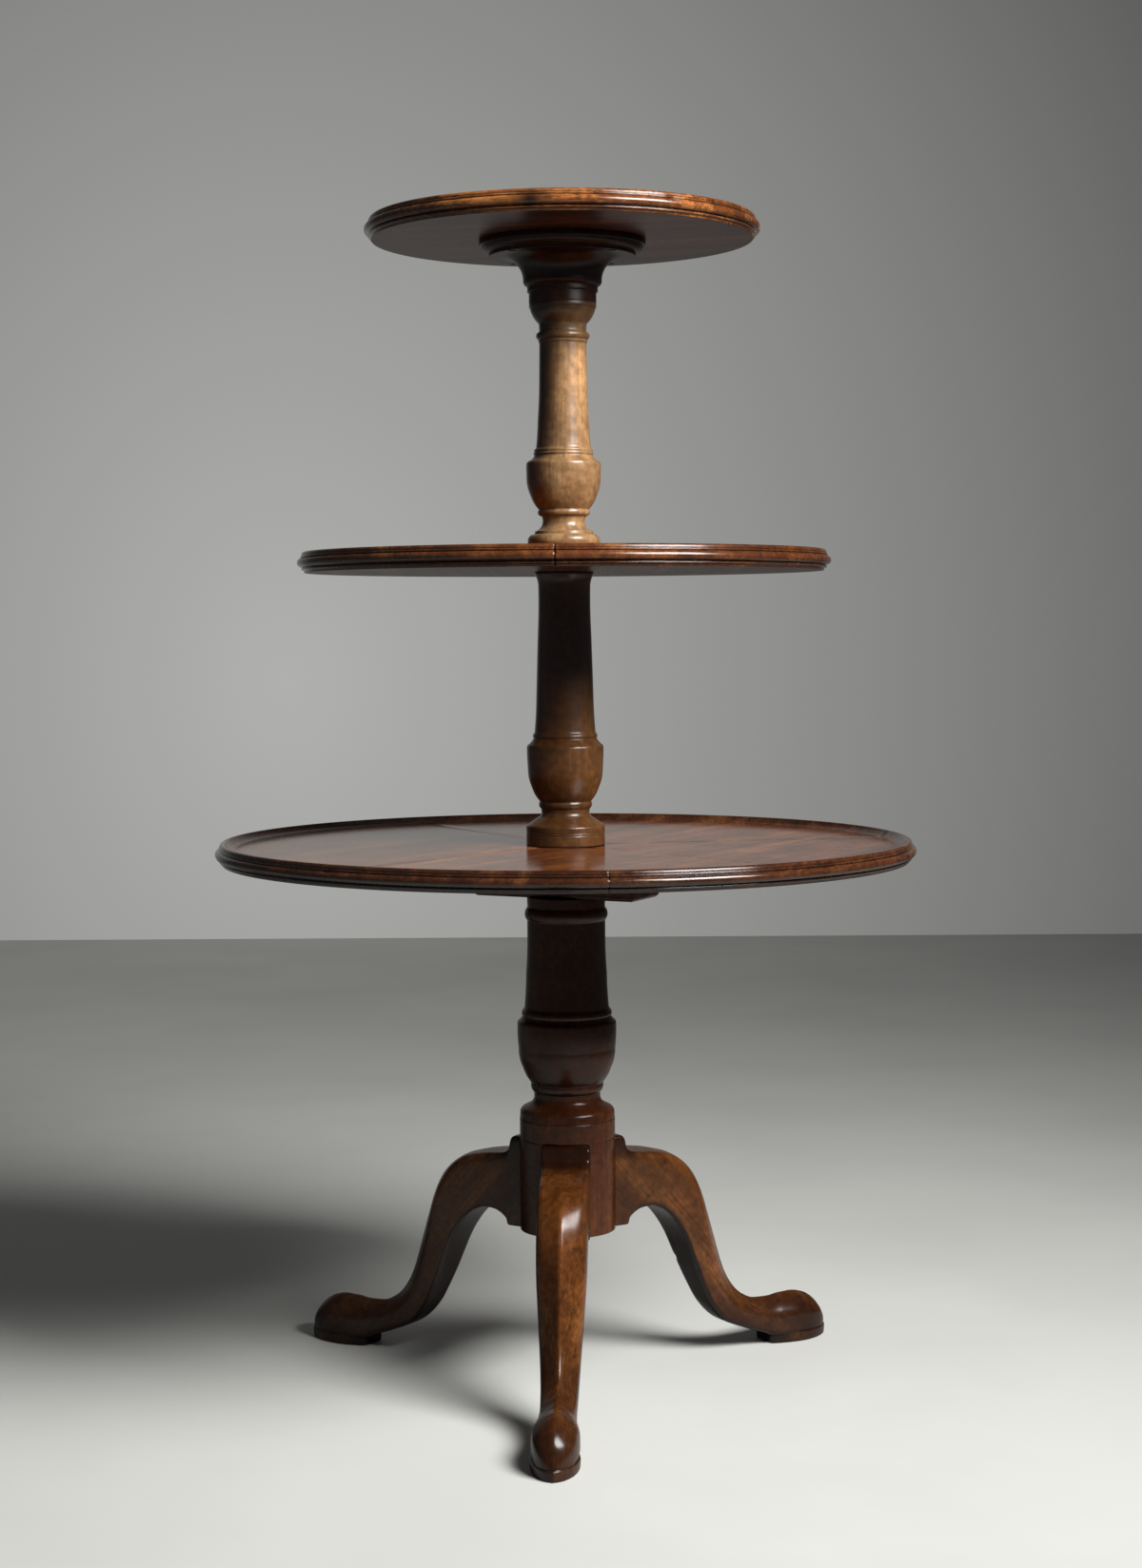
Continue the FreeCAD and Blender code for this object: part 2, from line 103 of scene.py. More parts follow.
class MahoganySettings(bpy.types.PropertyGroup):
    """Sizes of the grain and the wear that every wooden piece shares."""

    pore: colour("Pores", "Open pores filled with dark wax", "#1b0d07")
    grime: colour("Grime", "Old wax and dust in the hollows", "#0d0705")
    # This dark colour also paints shade under the trays, on the upper column's side away from the
    # key lamp, under the legs and at the heels of the soles.
    stain_and_shade: colour("Stain", "Old dark polish on feet, undersides and ears", "#1d0b06")
    figure_width: length("Figure width", "Width of the broad light and dark bands", 26)
    streak_width: length("Streak width", "Width of the fine streaks", 2.2)
    pore_width: length("Pore width", "Width of a pore, above the real 0.3 mm so that it shows", 0.7)
    patina_width: length("Patina width", "Size of the clouds in the old polish", 48)
    mottle_width: length("Mottle width", "Size of the specks in the old polish", 6)
    scuff_width: length("Scuff width", "Size of the small dark dents", 9)
    wave_width: length("Wave width", "Size of the waves that hand tools left in the surface", 22)
    wave_height: length("Wave height", "Height of those waves", 0.12)
    pore_depth: length("Pore depth", "Depth of a pore", 0.1)
    figure_draw: share("Figure length", "Width of a broad band beside its length", 0.07)
    streak_draw: share("Streak length", "Width of a fine streak beside its length", 0.02)
    pore_draw: share("Pore length", "Width of a pore beside its length", 0.1)
    edge_reach: length("Worn edge", "How far wear reaches in from an edge", 1.6)
    grime_reach: length("Grime reach", "How far grime reaches out of a hollow", 4)
    roughness: share("Roughness", "Roughness of the wood under the wax", 0.42)
    # Brightening makes worn wood paler, and it also paints light on the sides of columns and trays
    # that face the key lamp.
    brightening: FloatProperty(
        name="Bleach", description="How much brighter rubbed wood is", default=2.8)


class ColumnSettings(bpy.types.PropertyGroup):
    """Tones of the lower column, and what the column sections share."""

    lower: colour("Lower column", "Middle tone of the lower column", "#4a2612")
    lower_pale: colour("Lower column, pale", "Pale bands of the lower column", "#5e3418")
    lower_finish: coating("Lower finish", late_wood=0.92, pores=0.2, polish=0.5, gloss=0.24)
    upper_finish: coating("Upper finish", late_wood=0.92, pores=0.2, polish=0.85, gloss=0.28)
    socket_depth: length("Socket depth", "Depth of the sockets", 24)
    pin_chamfer: length("Pin chamfer", "Chamfer on the end of a pin", 1)


def section_settings(name, wood, wood_pale, underside, height, radius, socket, pin, pin_end):
    """Group with the tones and sizes of a column section above the lower one."""
    return type(name, (bpy.types.PropertyGroup,), {"__annotations__": {
        "wood": colour("Column", "Middle tone of the section", wood),
        "wood_pale": colour("Column, pale", "Pale bands of the section", wood_pale),
        "underside": length("Column foot", "Height of its underside", underside),
        "height": length("Column height", "From its underside to its shoulder", height),
        "radius": length("Column radius", "Radius of its widest turning", radius),
        "socket": length("Socket radius", "Radius of the socket in its underside", socket),
        "pin": length("Pin radius", "Radius of the pin on top of it", pin),
        "pin_end": length("Pin end", "Height of the end of that pin", pin_end),
    }})


MiddleColumnSettings = section_settings(
    "MiddleColumnSettings", "#54351b", "#674422", underside=475.4, height=238.1, radius=34.4,
    socket=15.05, pin=12, pin_end=750.1)
UpperColumnSettings = section_settings(
    "UpperColumnSettings", "#7c5c3c", "#92734f", underside=726.1, height=218.9, radius=32.5,
    socket=12.05, pin=10, pin_end=981)


class TraySettings(bpy.types.PropertyGroup):
    """Sizes that the trays share, the finish of the upper dishes and the grain of the bearer."""

    dull_finish: coating("Upper dish finish", late_wood=0.66, pores=0.6, polish=0.1, gloss=0.4)
    bearer_grain: turn("Bearer grain", "Direction of the grain seen from above", -26)
    rim_height: length("Rim height", "From the underside to the top of a rim", 18)
    rim_width: length("Rim width", "From the outside of a rim to the dish", 20)
    floor_thickness: length("Floor thickness", "From the underside to the floor of a dish", 12.3)


def board_settings(name, wood, wood_pale, polish, gloss, grain, radius, underside, bore):
    """Group with the tones, finish, grain and sizes of one tray."""
    return type(name, (bpy.types.PropertyGroup,), {"__annotations__": {
        "wood": colour("Tray", "Middle tone of the tray", wood),
        "wood_pale": colour("Tray, pale", "Pale bands of the tray", wood_pale),
        "finish": coating("Tray finish", late_wood=0.66, pores=0.6, polish=polish, gloss=gloss),
        "grain": turn("Tray grain", "Direction of the grain seen from above", grain),
        "radius": length("Tray radius", "Radius of the tray", radius),
        "underside": length("Tray height", "Height of its underside", underside),
        "bore": length("Tray bore", "Radius of the hole for the pin, or nothing", bore),
    }})


BottomTraySettings = board_settings(
    "BottomTraySettings", "#3d1f0f", "#56331a", polish=0.85, gloss=0.14, grain=58, radius=305,
    underside=462.8, bore=15.35)
MiddleTraySettings = board_settings(
    "MiddleTraySettings", "#522b14", "#744622", polish=0.9, gloss=0.2, grain=90, radius=231.5,
    underside=713.5, bore=12.35)
TopTraySettings = board_settings(
    "TopTraySettings", "#5f3315", "#a26736", polish=0.9, gloss=0.2, grain=-15, radius=171,
    underside=999, bore=0)


class UndersideSettings(bpy.types.PropertyGroup):
    """Tones and finish of tray undersides, bearer and flange, which were never waxed well."""

    wood: colour("Underside", "Middle tone of the undersides", "#573629")
    wood_pale: colour("Underside, pale", "Pale bands of the undersides", "#876250")
    flange: colour("Flange", "Middle tone of the flange", "#2e1811")
    flange_pale: colour("Flange, pale", "Pale bands of the flange", "#46281b")
    finish: coating("Underside finish", late_wood=0.5, pores=0.8, polish=0.52, gloss=0.3)


class LegSettings(bpy.types.PropertyGroup):
    """Tones, finish, grain slope and directions of the legs."""

    wood: colour("Leg", "Middle tone of the legs", "#563014")
    wood_pale: colour("Leg, pale", "Pale bands of the legs", "#734722")
    finish: coating("Leg finish", late_wood=0.7, pores=0.55, polish=0.5, gloss=0.22)
    grain_slope: turn("Grain slope", "How steeply the grain falls towards the foot", 48)
    right: turn("Right leg", "Direction of the right leg seen from above", 32)
    left: turn("Left leg", "Direction of the left leg seen from above", 148)
    front: turn("Front leg", "Direction of the front leg seen from above", 267.5)


class IronSettings(bpy.types.PropertyGroup):
    """Colours and scale of the hidden ironwork."""

    iron: colour("Iron", "Bare forged iron", "#4a4642")
    rust: colour("Rust", "Brown bloom on the iron", "#3a2317")
    scale_width: length("Scale width", "Size of the hammered scale", 4)
    scale_height: length("Scale height", "Height of the hammered scale", 0.3)


class StageSettings(bpy.types.PropertyGroup):
    """Floor, wall, lights and camera."""

    floor: colour("Floor", "Painted floor", "#cdcdc8")
    # The wall colours are the painted light that the backdrop glows with, palest at the glow.
    wall: colour("Wall", "Backdrop where it is palest", "#b0b1ae")
    wall_far: colour("Wall, far", "Backdrop at its sides and top", "#484848")
    near_middle: place("Near floor", "Middle of the floor that only lights show", (-0.5, 1.2, 0))
    near_floor: length("Near floor reach", "How far that floor reaches", 3000)
    far_floor: length("Far floor", "Way from its middle to floor as grey as the backdrop", 4000)
    cloud_width: length("Cloud width", "Size of the faint clouds in the paint", 330)
    bounce: share("Bounce", "Share of its light that the floor sends back onto the table", 0.15)
    backdrop: share("Backdrop", "Strength of the plain backdrop all round, where 1 is white", 0.14)
    sky: colour("Fill light", "Colour of the light from all round", "#e9eef2")
    fill: share("Fill strength", "Strength of the light from all round", 0.05)
    key: power("Key power", "Power of the soft light", 39)
    key_width: length("Key width", "Width of the soft light", 1050)
    key_height: length("Key height", "Height of the soft light", 900)
    key_place: place("Key place", "Place of the soft light", (1.19, -1.13, 1.8))
    key_aim: place("Key aim", "Point that the soft light faces", (-0.4, 0.1, 0.4))
    key_spread: turn("Key spread", "Opening of the soft light", 105)
    back: power("Back power", "Power of the light from behind", 24)
    back_size: length("Back size", "Width and height of the light from behind", 1200)
    back_place: place("Back place", "Place of the light from behind", (-0.35, 2.6, 2.6))
    back_aim: place("Back aim", "Point that the light from behind faces", (0, 0, 0.5))
    glow_place: place("Glow place", "Where the wall is palest", (-0.6, 3.224, 0.55))
    glow_width: length("Glow width", "How far the pale part of the wall fades to the sides", 2475)
    glow_height: length("Glow height", "How far the pale part of the wall fades up and down", 3075)
    wall_distance: length("Wall distance", "From the column axis back to the wall", 3224)
    room: length("Room", "How far floor and wall run to the sides and to the front", 12000)
    room_height: length("Room height", "Height of the wall", 6000)
    camera_place: place("Camera place", "Place of the camera", (0.0049, -2.246, 0.6677))
    lens: FloatProperty(
        name="Lens", description="Focal length of the camera", default=58.98, unit="CAMERA")
    pitch: turn("Camera pitch", "How far the camera looks down", 3.55)
    roll: turn("Camera roll", "How far the camera leans", -0.33)


def plug(tree, node, inputs):
    """Sets or links inputs of a node, given by name or number, or in their order."""
    for key, value in inputs.items() if isinstance(inputs, dict) else enumerate(inputs):
        if isinstance(value, bpy.types.NodeSocket):
            tree.links.new(value, node.inputs[key])
        else:
            node.inputs[key].default_value = value


def add(tree, kind, inputs=(), give=0, stops=(), **settings):
    """Adds one node with its options, colour stops and inputs, and gives one of its outputs. The
    sockets of a colour Mix go by number: share 0, colours 6 and 7, outcome 2."""
    node = tree.nodes.new("ShaderNode" + kind)
    for key, value in settings.items():
        setattr(node, key, value)
    for number, (spot, tint) in enumerate(stops):
        elements = node.color_ramp.elements
        element = elements[number] if number < len(elements) else elements.new(spot)
        element.position = spot
        element.color = (*tint, 1)
    plug(tree, node, inputs)
    return node.outputs[give]


def new_material(name):
    """Empty node material with its principled shader, as material, tree and shader."""
    material = bpy.data.materials.new(name)
    material.use_nodes = True
    tree = material.node_tree
    return material, tree, tree.nodes["Principled BSDF"]


# How mahogany looks. A cut gives the lowest and highest noise that count, and a range adds what
# they become. The bands go from late wood over the middle tone to pale, and a streak counts less
# than a band.
BAND_STOPS = (0.55, 0.78, 1)
STREAK_SHARE = 0.55
CLOUD_RANGE = (0.35, 0.65, 0.62, 1.14)
SPECK_RANGE = (0.35, 0.65, 0.78, 1.14)
PORE_CUT = (0.58, 0.75)
SCUFF_CUT = (0.64, 0.72)
EDGE_RANGE = (0.99, 0.8, 0, 0.3)
GRIME_RANGE = (0.75, 0.3, 0, 0.9)
GRIME_ROUGHNESS = 0.3
HAZE_CUT = (0.3, 0.7)
HAZE_ROUGHNESS = (-0.06, 0.1)

# Where in the wood each piece was cut: metres along, across and through the grain.
CUTS = {
    "lower_column": (0.3, 0.02, 0.11), "middle_column": (1.7, 0.05, 0.09),
    "upper_column": (2.9, 0.03, 0.13), "bottom_tray": (0.2, 0.1, -0.42),
    "middle_tray": (1.1, 0.3, -0.66), "top_tray": (2.3, 0.5, -0.95),
    "bottom_tray_bearer": (3.1, 0.7, -0.4), "top_tray_flange": (4.2, 0.9, -0.9),
    "leg_right": (0, 0.05, 0.08), "leg_left": (0.7, 0.05, 0.08), "leg_front": (1.4, 0.05, 0.08),
}


# Old mahogany, turned, planed or carved by hand, darkened by age and waxed. The eye sees faint
# bands and short fine pores along the grain, cloudy polish, paler rubbed edges, black hollows and a
# deep sheen.
def mahogany(made, node, wood, tone, pale, finish, grain_turn):
    """Mahogany of a node whose grain runs along the direction that grain_turn brings to +X. Its
    finish is laid out as the finish properties are. All its shine is in the wax."""
    late_wood, pore_share, polish, gloss = finish
    material, tree, shader = new_material(f"{made}_mahogany_{node}")
    spot = add(tree, "TexCoord", give="Object")
    grain = add(tree, "Mapping", {"Vector": spot, "Rotation": grain_turn, "Location": CUTS[node]})
    banded, fine, short = (
        add(tree, "Mapping", {"Vector": grain, "Scale": (draw, 1, 1)})
        for draw in (wood.figure_draw, wood.streak_draw, wood.pore_draw))

    # Figure: broad bands with fine streaks, from the dark late wood to the pale early wood.
    figure = add(tree, "TexNoise", {
        "Vector": banded, "Scale": 1 / wood.figure_width, "Detail": 3, "Distortion": 0.5})
    streaks = add(tree, "TexNoise", {"Vector": fine, "Scale": 1 / wood.streak_width, "Detail": 3})
    banding = add(tree, "Math", (streaks, STREAK_SHARE, figure), operation="MULTIPLY_ADD")
    late = [c * late_wood for c in tone]
    bands = add(tree, "ValToRGB", {"Fac": banding}, stops=zip(BAND_STOPS, (late, tone, pale)))

    # Patina: clouds and specks in the old polish.
    clouds = add(tree, "TexNoise", {
        "Vector": grain, "Scale": 1 / wood.patina_width, "Detail": 4, "Roughness": 0.6})
    specks = add(tree, "TexNoise", {"Vector": grain, "Scale": 1 / wood.mottle_width, "Detail": 3})
    cloud_shade = add(tree, "MapRange", (clouds, *CLOUD_RANGE))
    speck_shade = add(tree, "MapRange", (specks, *SPECK_RANGE))
    shade = add(tree, "Math", (cloud_shade, speck_shade), operation="MULTIPLY")
    aged = add(tree, "VectorMath", {0: bands, "Scale": shade}, operation="SCALE")

    # Pores and scuffs: short dark lines along the grain, and small dark dents.
    pits = add(tree, "TexNoise", {"Vector": short, "Scale": 1 / wood.pore_width, "Detail": 1})
    pores = add(tree, "MapRange", (pits, *PORE_CUT, 0, pore_share))
    dents = add(tree, "TexNoise", {
        "Vector": spot, "Scale": 1 / wood.scuff_width, "Detail": 2, "Roughness": 0.7})
    scuffs = add(tree, "MapRange", (dents, *SCUFF_CUT, 0, pore_share))
    dark = add(tree, "Math", (pores, scuffs), operation="MAXIMUM")
    pored = add(tree, "Mix", {0: dark, 6: aged, 7: (*wood.pore, 1)}, 2, data_type="RGBA")

    # Wear: the angle between the surface and one rounded off shows where an edge is.
    rounded = add(tree, "Bevel", {"Radius": wood.edge_reach}, samples=6)
    surface = add(tree, "NewGeometry", give="Normal")
    likeness = add(tree, "VectorMath", (rounded, surface), "Value", operation="DOT_PRODUCT")
    edge = add(tree, "MapRange", (likeness, *EDGE_RANGE))
    edge_wear = add(tree, "Math", (edge, specks), operation="MULTIPLY")
    # The mesh adds its paling: wear from dishes and hands, and painted light on the sides that face
    # the key lamp.
    rubbed_and_lit = add(tree, "Attribute", give="Fac", attribute_name="rub_and_light")
    wear = add(tree, "Math", (edge_wear, rubbed_and_lit), operation="ADD", use_clamp=True)
    brightened = add(tree, "VectorMath", {0: pored, "Scale": wood.brightening}, operation="SCALE")
    worn = add(tree, "Mix", {0: wear, 6: pored, 7: brightened}, 2, data_type="RGBA")

    # Old polish and painted shade where the mesh says so, and grime in the hollows.
    stain_and_shade = add(tree, "Attribute", give="Fac", attribute_name="stain_and_shade")
    stained_and_shaded = add(tree, "Mix", {0: stain_and_shade, 6: worn, 7: (*wood.stain_and_shade, 1)}, 2, data_type="RGBA")
    open_sky = add(tree, "AmbientOcclusion", {"Distance": wood.grime_reach}, "AO", samples=6)
    grime = add(tree, "MapRange", (open_sky, *GRIME_RANGE))
    finished = add(tree, "Mix", {0: grime, 6: stained_and_shaded, 7: (*wood.grime, 1)}, 2, data_type="RGBA")

    # Roughness from the clouds and the grime, and relief from pores under the wax and waves in it.
    hazes = [wood.roughness + change for change in HAZE_ROUGHNESS]
    haze = add(tree, "MapRange", (clouds, *HAZE_CUT, *hazes))
    dull = add(tree, "Math", (grime, GRIME_ROUGHNESS, haze), operation="MULTIPLY_ADD")
    relief = add(tree, "Math", (streaks, pores), operation="SUBTRACT")
    bump = add(tree, "Bump", {
        "Height": relief, "Normal": rounded, "Strength": 0.4, "Distance": wood.pore_depth})
    waves = add(tree, "TexNoise", {"Vector": grain, "Scale": 1 / wood.wave_width, "Detail": 2})
    wavy = add(tree, "Bump", {
        "Height": waves, "Normal": rounded, "Strength": 0.6, "Distance": wood.wave_height})
    plug(tree, shader, {
        "Base Color": finished, "Roughness": dull, "Normal": bump, "Coat Normal": wavy, "IOR": 1.5,
        "Specular IOR Level": 0, "Coat Weight": polish, "Coat Roughness": gloss})
    return material


RUST_STOPS = (0.4, 0.65)
IRON_RANGE = (0, 1, 0.4, 0.75)


# Forged iron, hammered and left to darken. The eye sees near-black metal with a brown bloom.
def forged_iron(name, iron):
    """Dark iron with rust bloom and hammered scale."""
    material, tree, shader = new_material(name)
    spot = add(tree, "TexCoord", give="Object")
    bloom = add(tree, "TexNoise", {"Vector": spot, "Scale": 1 / iron.scale_width, "Detail": 5})
    tint = add(tree, "ValToRGB", {"Fac": bloom}, stops=zip(RUST_STOPS, (iron.iron, iron.rust)))
    haze = add(tree, "MapRange", (bloom, *IRON_RANGE))
    bump = add(tree, "Bump", {"Height": bloom, "Strength": 0.4, "Distance": iron.scale_height})
    plug(tree, shader, {"Base Color": tint, "Roughness": haze, "Normal": bump, "Metallic": 0.9})
    return material


def seen_rays(tree):
    """One for rays from the camera, straight or by way of a reflection or glass, and zero for all
    others."""
    seen = add(tree, "LightPath", give="Is Camera Ray")
    for ray in ("Is Glossy Ray", "Is Transmission Ray"):
        seen = add(tree, "Math", (seen, add(tree, "LightPath", give=ray)), operation="MAXIMUM")
    return seen


PAINT_STOPS = (0.3, 0.6)
PAINT_SHADE = 0.93


# Floor paint, rolled on. The eye sees a pale even colour with faint clouds.
def painted(name, look):
    """Pale paint with faint clouds, which sends only a share of its light back onto the table and
    far from it glows as grey as the backdrop."""
    material, tree, shader = new_material(name)
    spot = add(tree, "TexCoord", give="Object")
    seen = seen_rays(tree)
    clouds = add(tree, "TexNoise", {"Vector": spot, "Scale": 1 / look.cloud_width, "Detail": 6})
    faint = [c * PAINT_SHADE for c in look.floor]
    tint = add(tree, "ValToRGB", {"Fac": clouds}, stops=zip(PAINT_STOPS, (faint, look.floor)))
    dim = [c * look.bounce for c in look.floor]
    shown = add(tree, "Mix", {0: seen, 6: (*dim, 1), 7: tint}, 2, data_type="RGBA")
    way = add(tree, "VectorMath", (spot, look.near_middle), "Value", operation="DISTANCE")
    far = add(tree, "MapRange", (way, look.near_floor, look.far_floor, 0, look.backdrop))
    glow = add(tree, "Math", (far, seen), operation="MULTIPLY")
    plug(tree, shader, {
        "Base Color": shown, "Emission Strength": glow, "Emission Color": (*look.sky, 1),
        "Roughness": 0.6, "Specular IOR Level": 0.1})
    return material


# Backdrop that glows with a painted pool of light. The eye sees a soft grey that fades out from one
# place.
def glowing_backdrop(name, look):
    """Backdrop that glows as painted light: palest at the glow, falling evenly with the way from
    it.
    """
    material, tree, shader = new_material(name)
    spot = add(tree, "TexCoord", give="Object")
    scale = Vector((1 / look.glow_width, 0, 1 / look.glow_height))
    off = add(tree, "Mapping", {
        "Vector": spot, "Scale": scale, "Location": -scale * Vector(look.glow_place)})
    near = add(tree, "TexGradient", {"Vector": off}, "Fac", gradient_type="SPHERICAL")
    tint = add(tree, "ValToRGB", {"Fac": near}, stops=((0, look.wall_far), (1, look.wall)))
    plug(tree, shader, {
        "Emission Color": tint, "Emission Strength": 1, "Base Color": (0, 0, 0, 1),
        "Specular IOR Level": 0})
    return material


# Turned outlines from the underside up. Each row gives the height share, the radius share and the
# bulge share of the chord that ends there: above zero is round outwards, below zero is hollow.
COLUMN_SHARES = {
    "middle_column": np.array([
        (0, 1, 0), (0.0386, 1, 0), (0.0403, 0.985, 0), (0.042, 1, 0), (0.047, 1, 0),
        (0.0487, 0.985, 0), (0.0504, 1, 0), (0.0634, 1, 0), (0.0743, 0.965, 0.2),
        (0.0991, 0.727, 0), (0.1201, 0.608, -0.15), (0.1327, 0.62, 0), (0.1604, 0.654, 0.2),
        (0.2104, 0.852, 0.06), (0.2797, 0.955, 0.06), (0.3574, 0.977, 0.01), (0.3704, 0.922, 0.15),
        (0.3923, 0.802, -0.05), (0.4095, 0.797, 0.2), (0.4192, 0.773, -0.1), (0.5443, 0.728, -0.01),
        (0.7753, 0.681, 0), (0.9538, 0.662, -0.01), (0.9908, 0.741, -0.05), (1, 0.741, 0),
    ]),
    "upper_column": np.array([
        (0, 0.985, 0), (0.038, 0.985, 0), (0.038, 0.852, 0), (0.041, 0.852, 0),
        (0.091, 0.852, 0.36), (0.091, 0.788, 0), (0.104, 0.775, 0), (0.145, 0.569, -0.18),
        (0.164, 0.603, -0.08), (0.189, 0.667, 0.35), (0.247, 0.898, 0.06), (0.324, 0.994, 0.06),
        (0.367, 1, 0.01), (0.3815, 0.929, 0.15), (0.4034, 0.782, -0.12), (0.416, 0.775, 0.3),
        (0.429, 0.751, 0.3), (0.438, 0.729, -0.1), (0.548, 0.683, -0.01), (0.703, 0.64, -0.01),
        (0.846, 0.628, 0), (0.846, 0.649, 0), (0.858, 0.649, 0), (0.889, 0.631, 0.36),
        (0.9205, 0.64, -0.02), (0.975, 0.868, 0.07), (0.983, 0.874, 0), (0.983, 0.898, 0),
        (1, 0.898, 0),
    ]),
}

# Rim of every tray, from the underside round the outside and over to the dish: height share of the
# rim height, inset share of the rim width, bulge share of the chord.
RIM_SHARES = np.array([
    (0, 0.3, 0), (0.12, 0.24, -0.2), (0.12, 0.22, 0), (0.235, 0.22, 0.4), (0.25, 0.25, 0),
    (0.265, 0.15, 0), (0.69, 0.15, 0.4), (0.705, 0.2, 0), (0.715, 0.18, 0), (0.81, 0.19, 0.4),
    (0.82, 0.22, 0), (0.83, 0.19, 0), (1, 0.31, 0.2), (1, 0.37, 0), (0.95, 0.42, 0.2),
])
DISH_COVE_BULGE = -0.15

# Turn that lays the upright grain of a column along +X.
GRAIN_UP = (0, math.radians(90), 0)

# How a turned outline is walked: half angle that stands for a straight chord, points on an arc,
# step along the line, roundness of worn corners, how far points gather round a corner, widths after
# which a bell ends, what a point's own turn counts beside the turn around it, and the longest step
# and the widest turn that are kept. Lengths in mm.
STRAIGHT = 1e-6
ARC_POINTS = 24
WALK_STEP = 0.06
CORNER_ROUNDING = 0.2
CORNER_GATHER = 0.7
BELL_REACH = 4
OWN_TURN = 0.6
LONGEST_STEP = 9
WIDEST_TURN = math.radians(11)

# How a turned skin is divided: segments all round, further ones across a mark in its half widths,
# digits of an angle that count, and how far in mm a mark fades in from its inner radius.
TRAY_SEGMENTS = 288
COLUMN_SEGMENTS = 128
MARK_POINTS = np.linspace(-2.5, 2.5, 9)
ANGLE_DIGITS = 6
MARK_FADE = 30

# Level faces of a tray: how near in height, in metres, and how upright their normal is at least.
FLAT = 0.6 * MM
LEVEL = 0.8

# Marks of use on the turned pieces: angle in degrees, height, half width round, half height, depth
# and inner radius in mm. A narrow deep one is a shrinkage crack, a wide shallow one a knock.
MARKS = {
    "middle_column": np.array([(-62, 548, 3, 2.5, 0.35, 0), (-112, 590, 2.5, 4, 0.3, 0)]),
    "upper_column": np.array([(-79, 899, 2, 3.2, 0.7, 0), (-96, 866, 2.6, 2, 0.35, 0)]),
    "bottom_tray": np.array([
        (-83.6, 472, 0.35, 30, 0.7, 265), (-128, 476, 5, 3, 0.6, 0), (-51, 474, 6, 2.5, 0.5, 0),
        (12, 477, 5, 3, 0.6, 0), (118, 476, 4, 3, 0.5, 0),
    ]),
    "middle_tray": np.array([
        (-91.7, 722, 0.4, 30, 1.5, 120), (-47, 727, 4, 3, 0.5, 0), (160, 727, 5, 3, 0.6, 0),
    ]),
    "top_tray": np.array([
        (-57, 1013, 6, 2.5, 0.5, 0), (-121, 1012, 4, 2.5, 0.4, 0), (70, 1013, 5, 3, 0.5, 0),
    ]),
}

# Places made darker, laid out as the marks are, with a share in place of the depth. On the trays
# they are old polish along cracks and on the rims; on the columns they are painted shade.
STAINS_AND_SHADE = {
    # Painted shade: the middle column darker all round under the middle tray, where its shadow
    # falls.
    "middle_column": np.array([(-90, 640, 400, 80, 0.45, 0)]),
    # Painted shade: the upper column darker on its left back side, turned from the key lamp, and
    # all round just under the top tray.
    "upper_column": np.array([(-148, 880, 20, 120, 0.88, 0), (-90, 957, 400, 28, 0.85, 0)]),
    "bottom_tray": np.array([(-83.6, 472, 0.7, 30, 0.6, 265), (-110, 472, 30, 9, 0.15, 255)]),
    "middle_tray": np.array([(-91.7, 722, 0.7, 30, 0.8, 120), (-120, 722, 40, 9, 0.3, 180)]),
    "top_tray": np.array([(-98.5, 1008, 14, 10, 1, 120), (-60, 1010, 10, 4, 0.5, 120)]),
}

# Places made pale, laid out as the stains are. A radius below zero is an outer one. The rings all
# round the dish floors are wear from dishes; the other places are painted light on the sides that
# face the key lamp.
ALL_ROUND = 9999
RUBS_AND_LIGHT = {
    # Painted light: the middle column paler towards the front right, facing the key lamp.
    "middle_column": np.array([(-60, 552, 22, 26, 0.15, 0)]),
    # Painted light: the upper column paler towards the front right, facing the key lamp.
    "upper_column": np.array([(-52, 885, 20, 40, 0.6, 0)]),
    # A ring of wear from dishes on the dish floor, and painted light towards the front right of
    # that floor.
    "bottom_tray": np.array([
        (-90, 475.1, ALL_ROUND, 1.5, 1, -292), (-75, 475.1, 150, 1.5, 0.3, -280),
    ]),
    "middle_tray": np.array([(-90, 725.8, ALL_ROUND, 1.5, 0.9, -218)]),
    # A ring of wear from dishes on the dish floor, and a painted highlight on the rim towards the
    # front right.
    "top_tray": np.array([(-90, 1011.3, ALL_ROUND, 1.5, 0.9, -158), (-75, 1010, 50, 6, 0.25, 140)]),
}

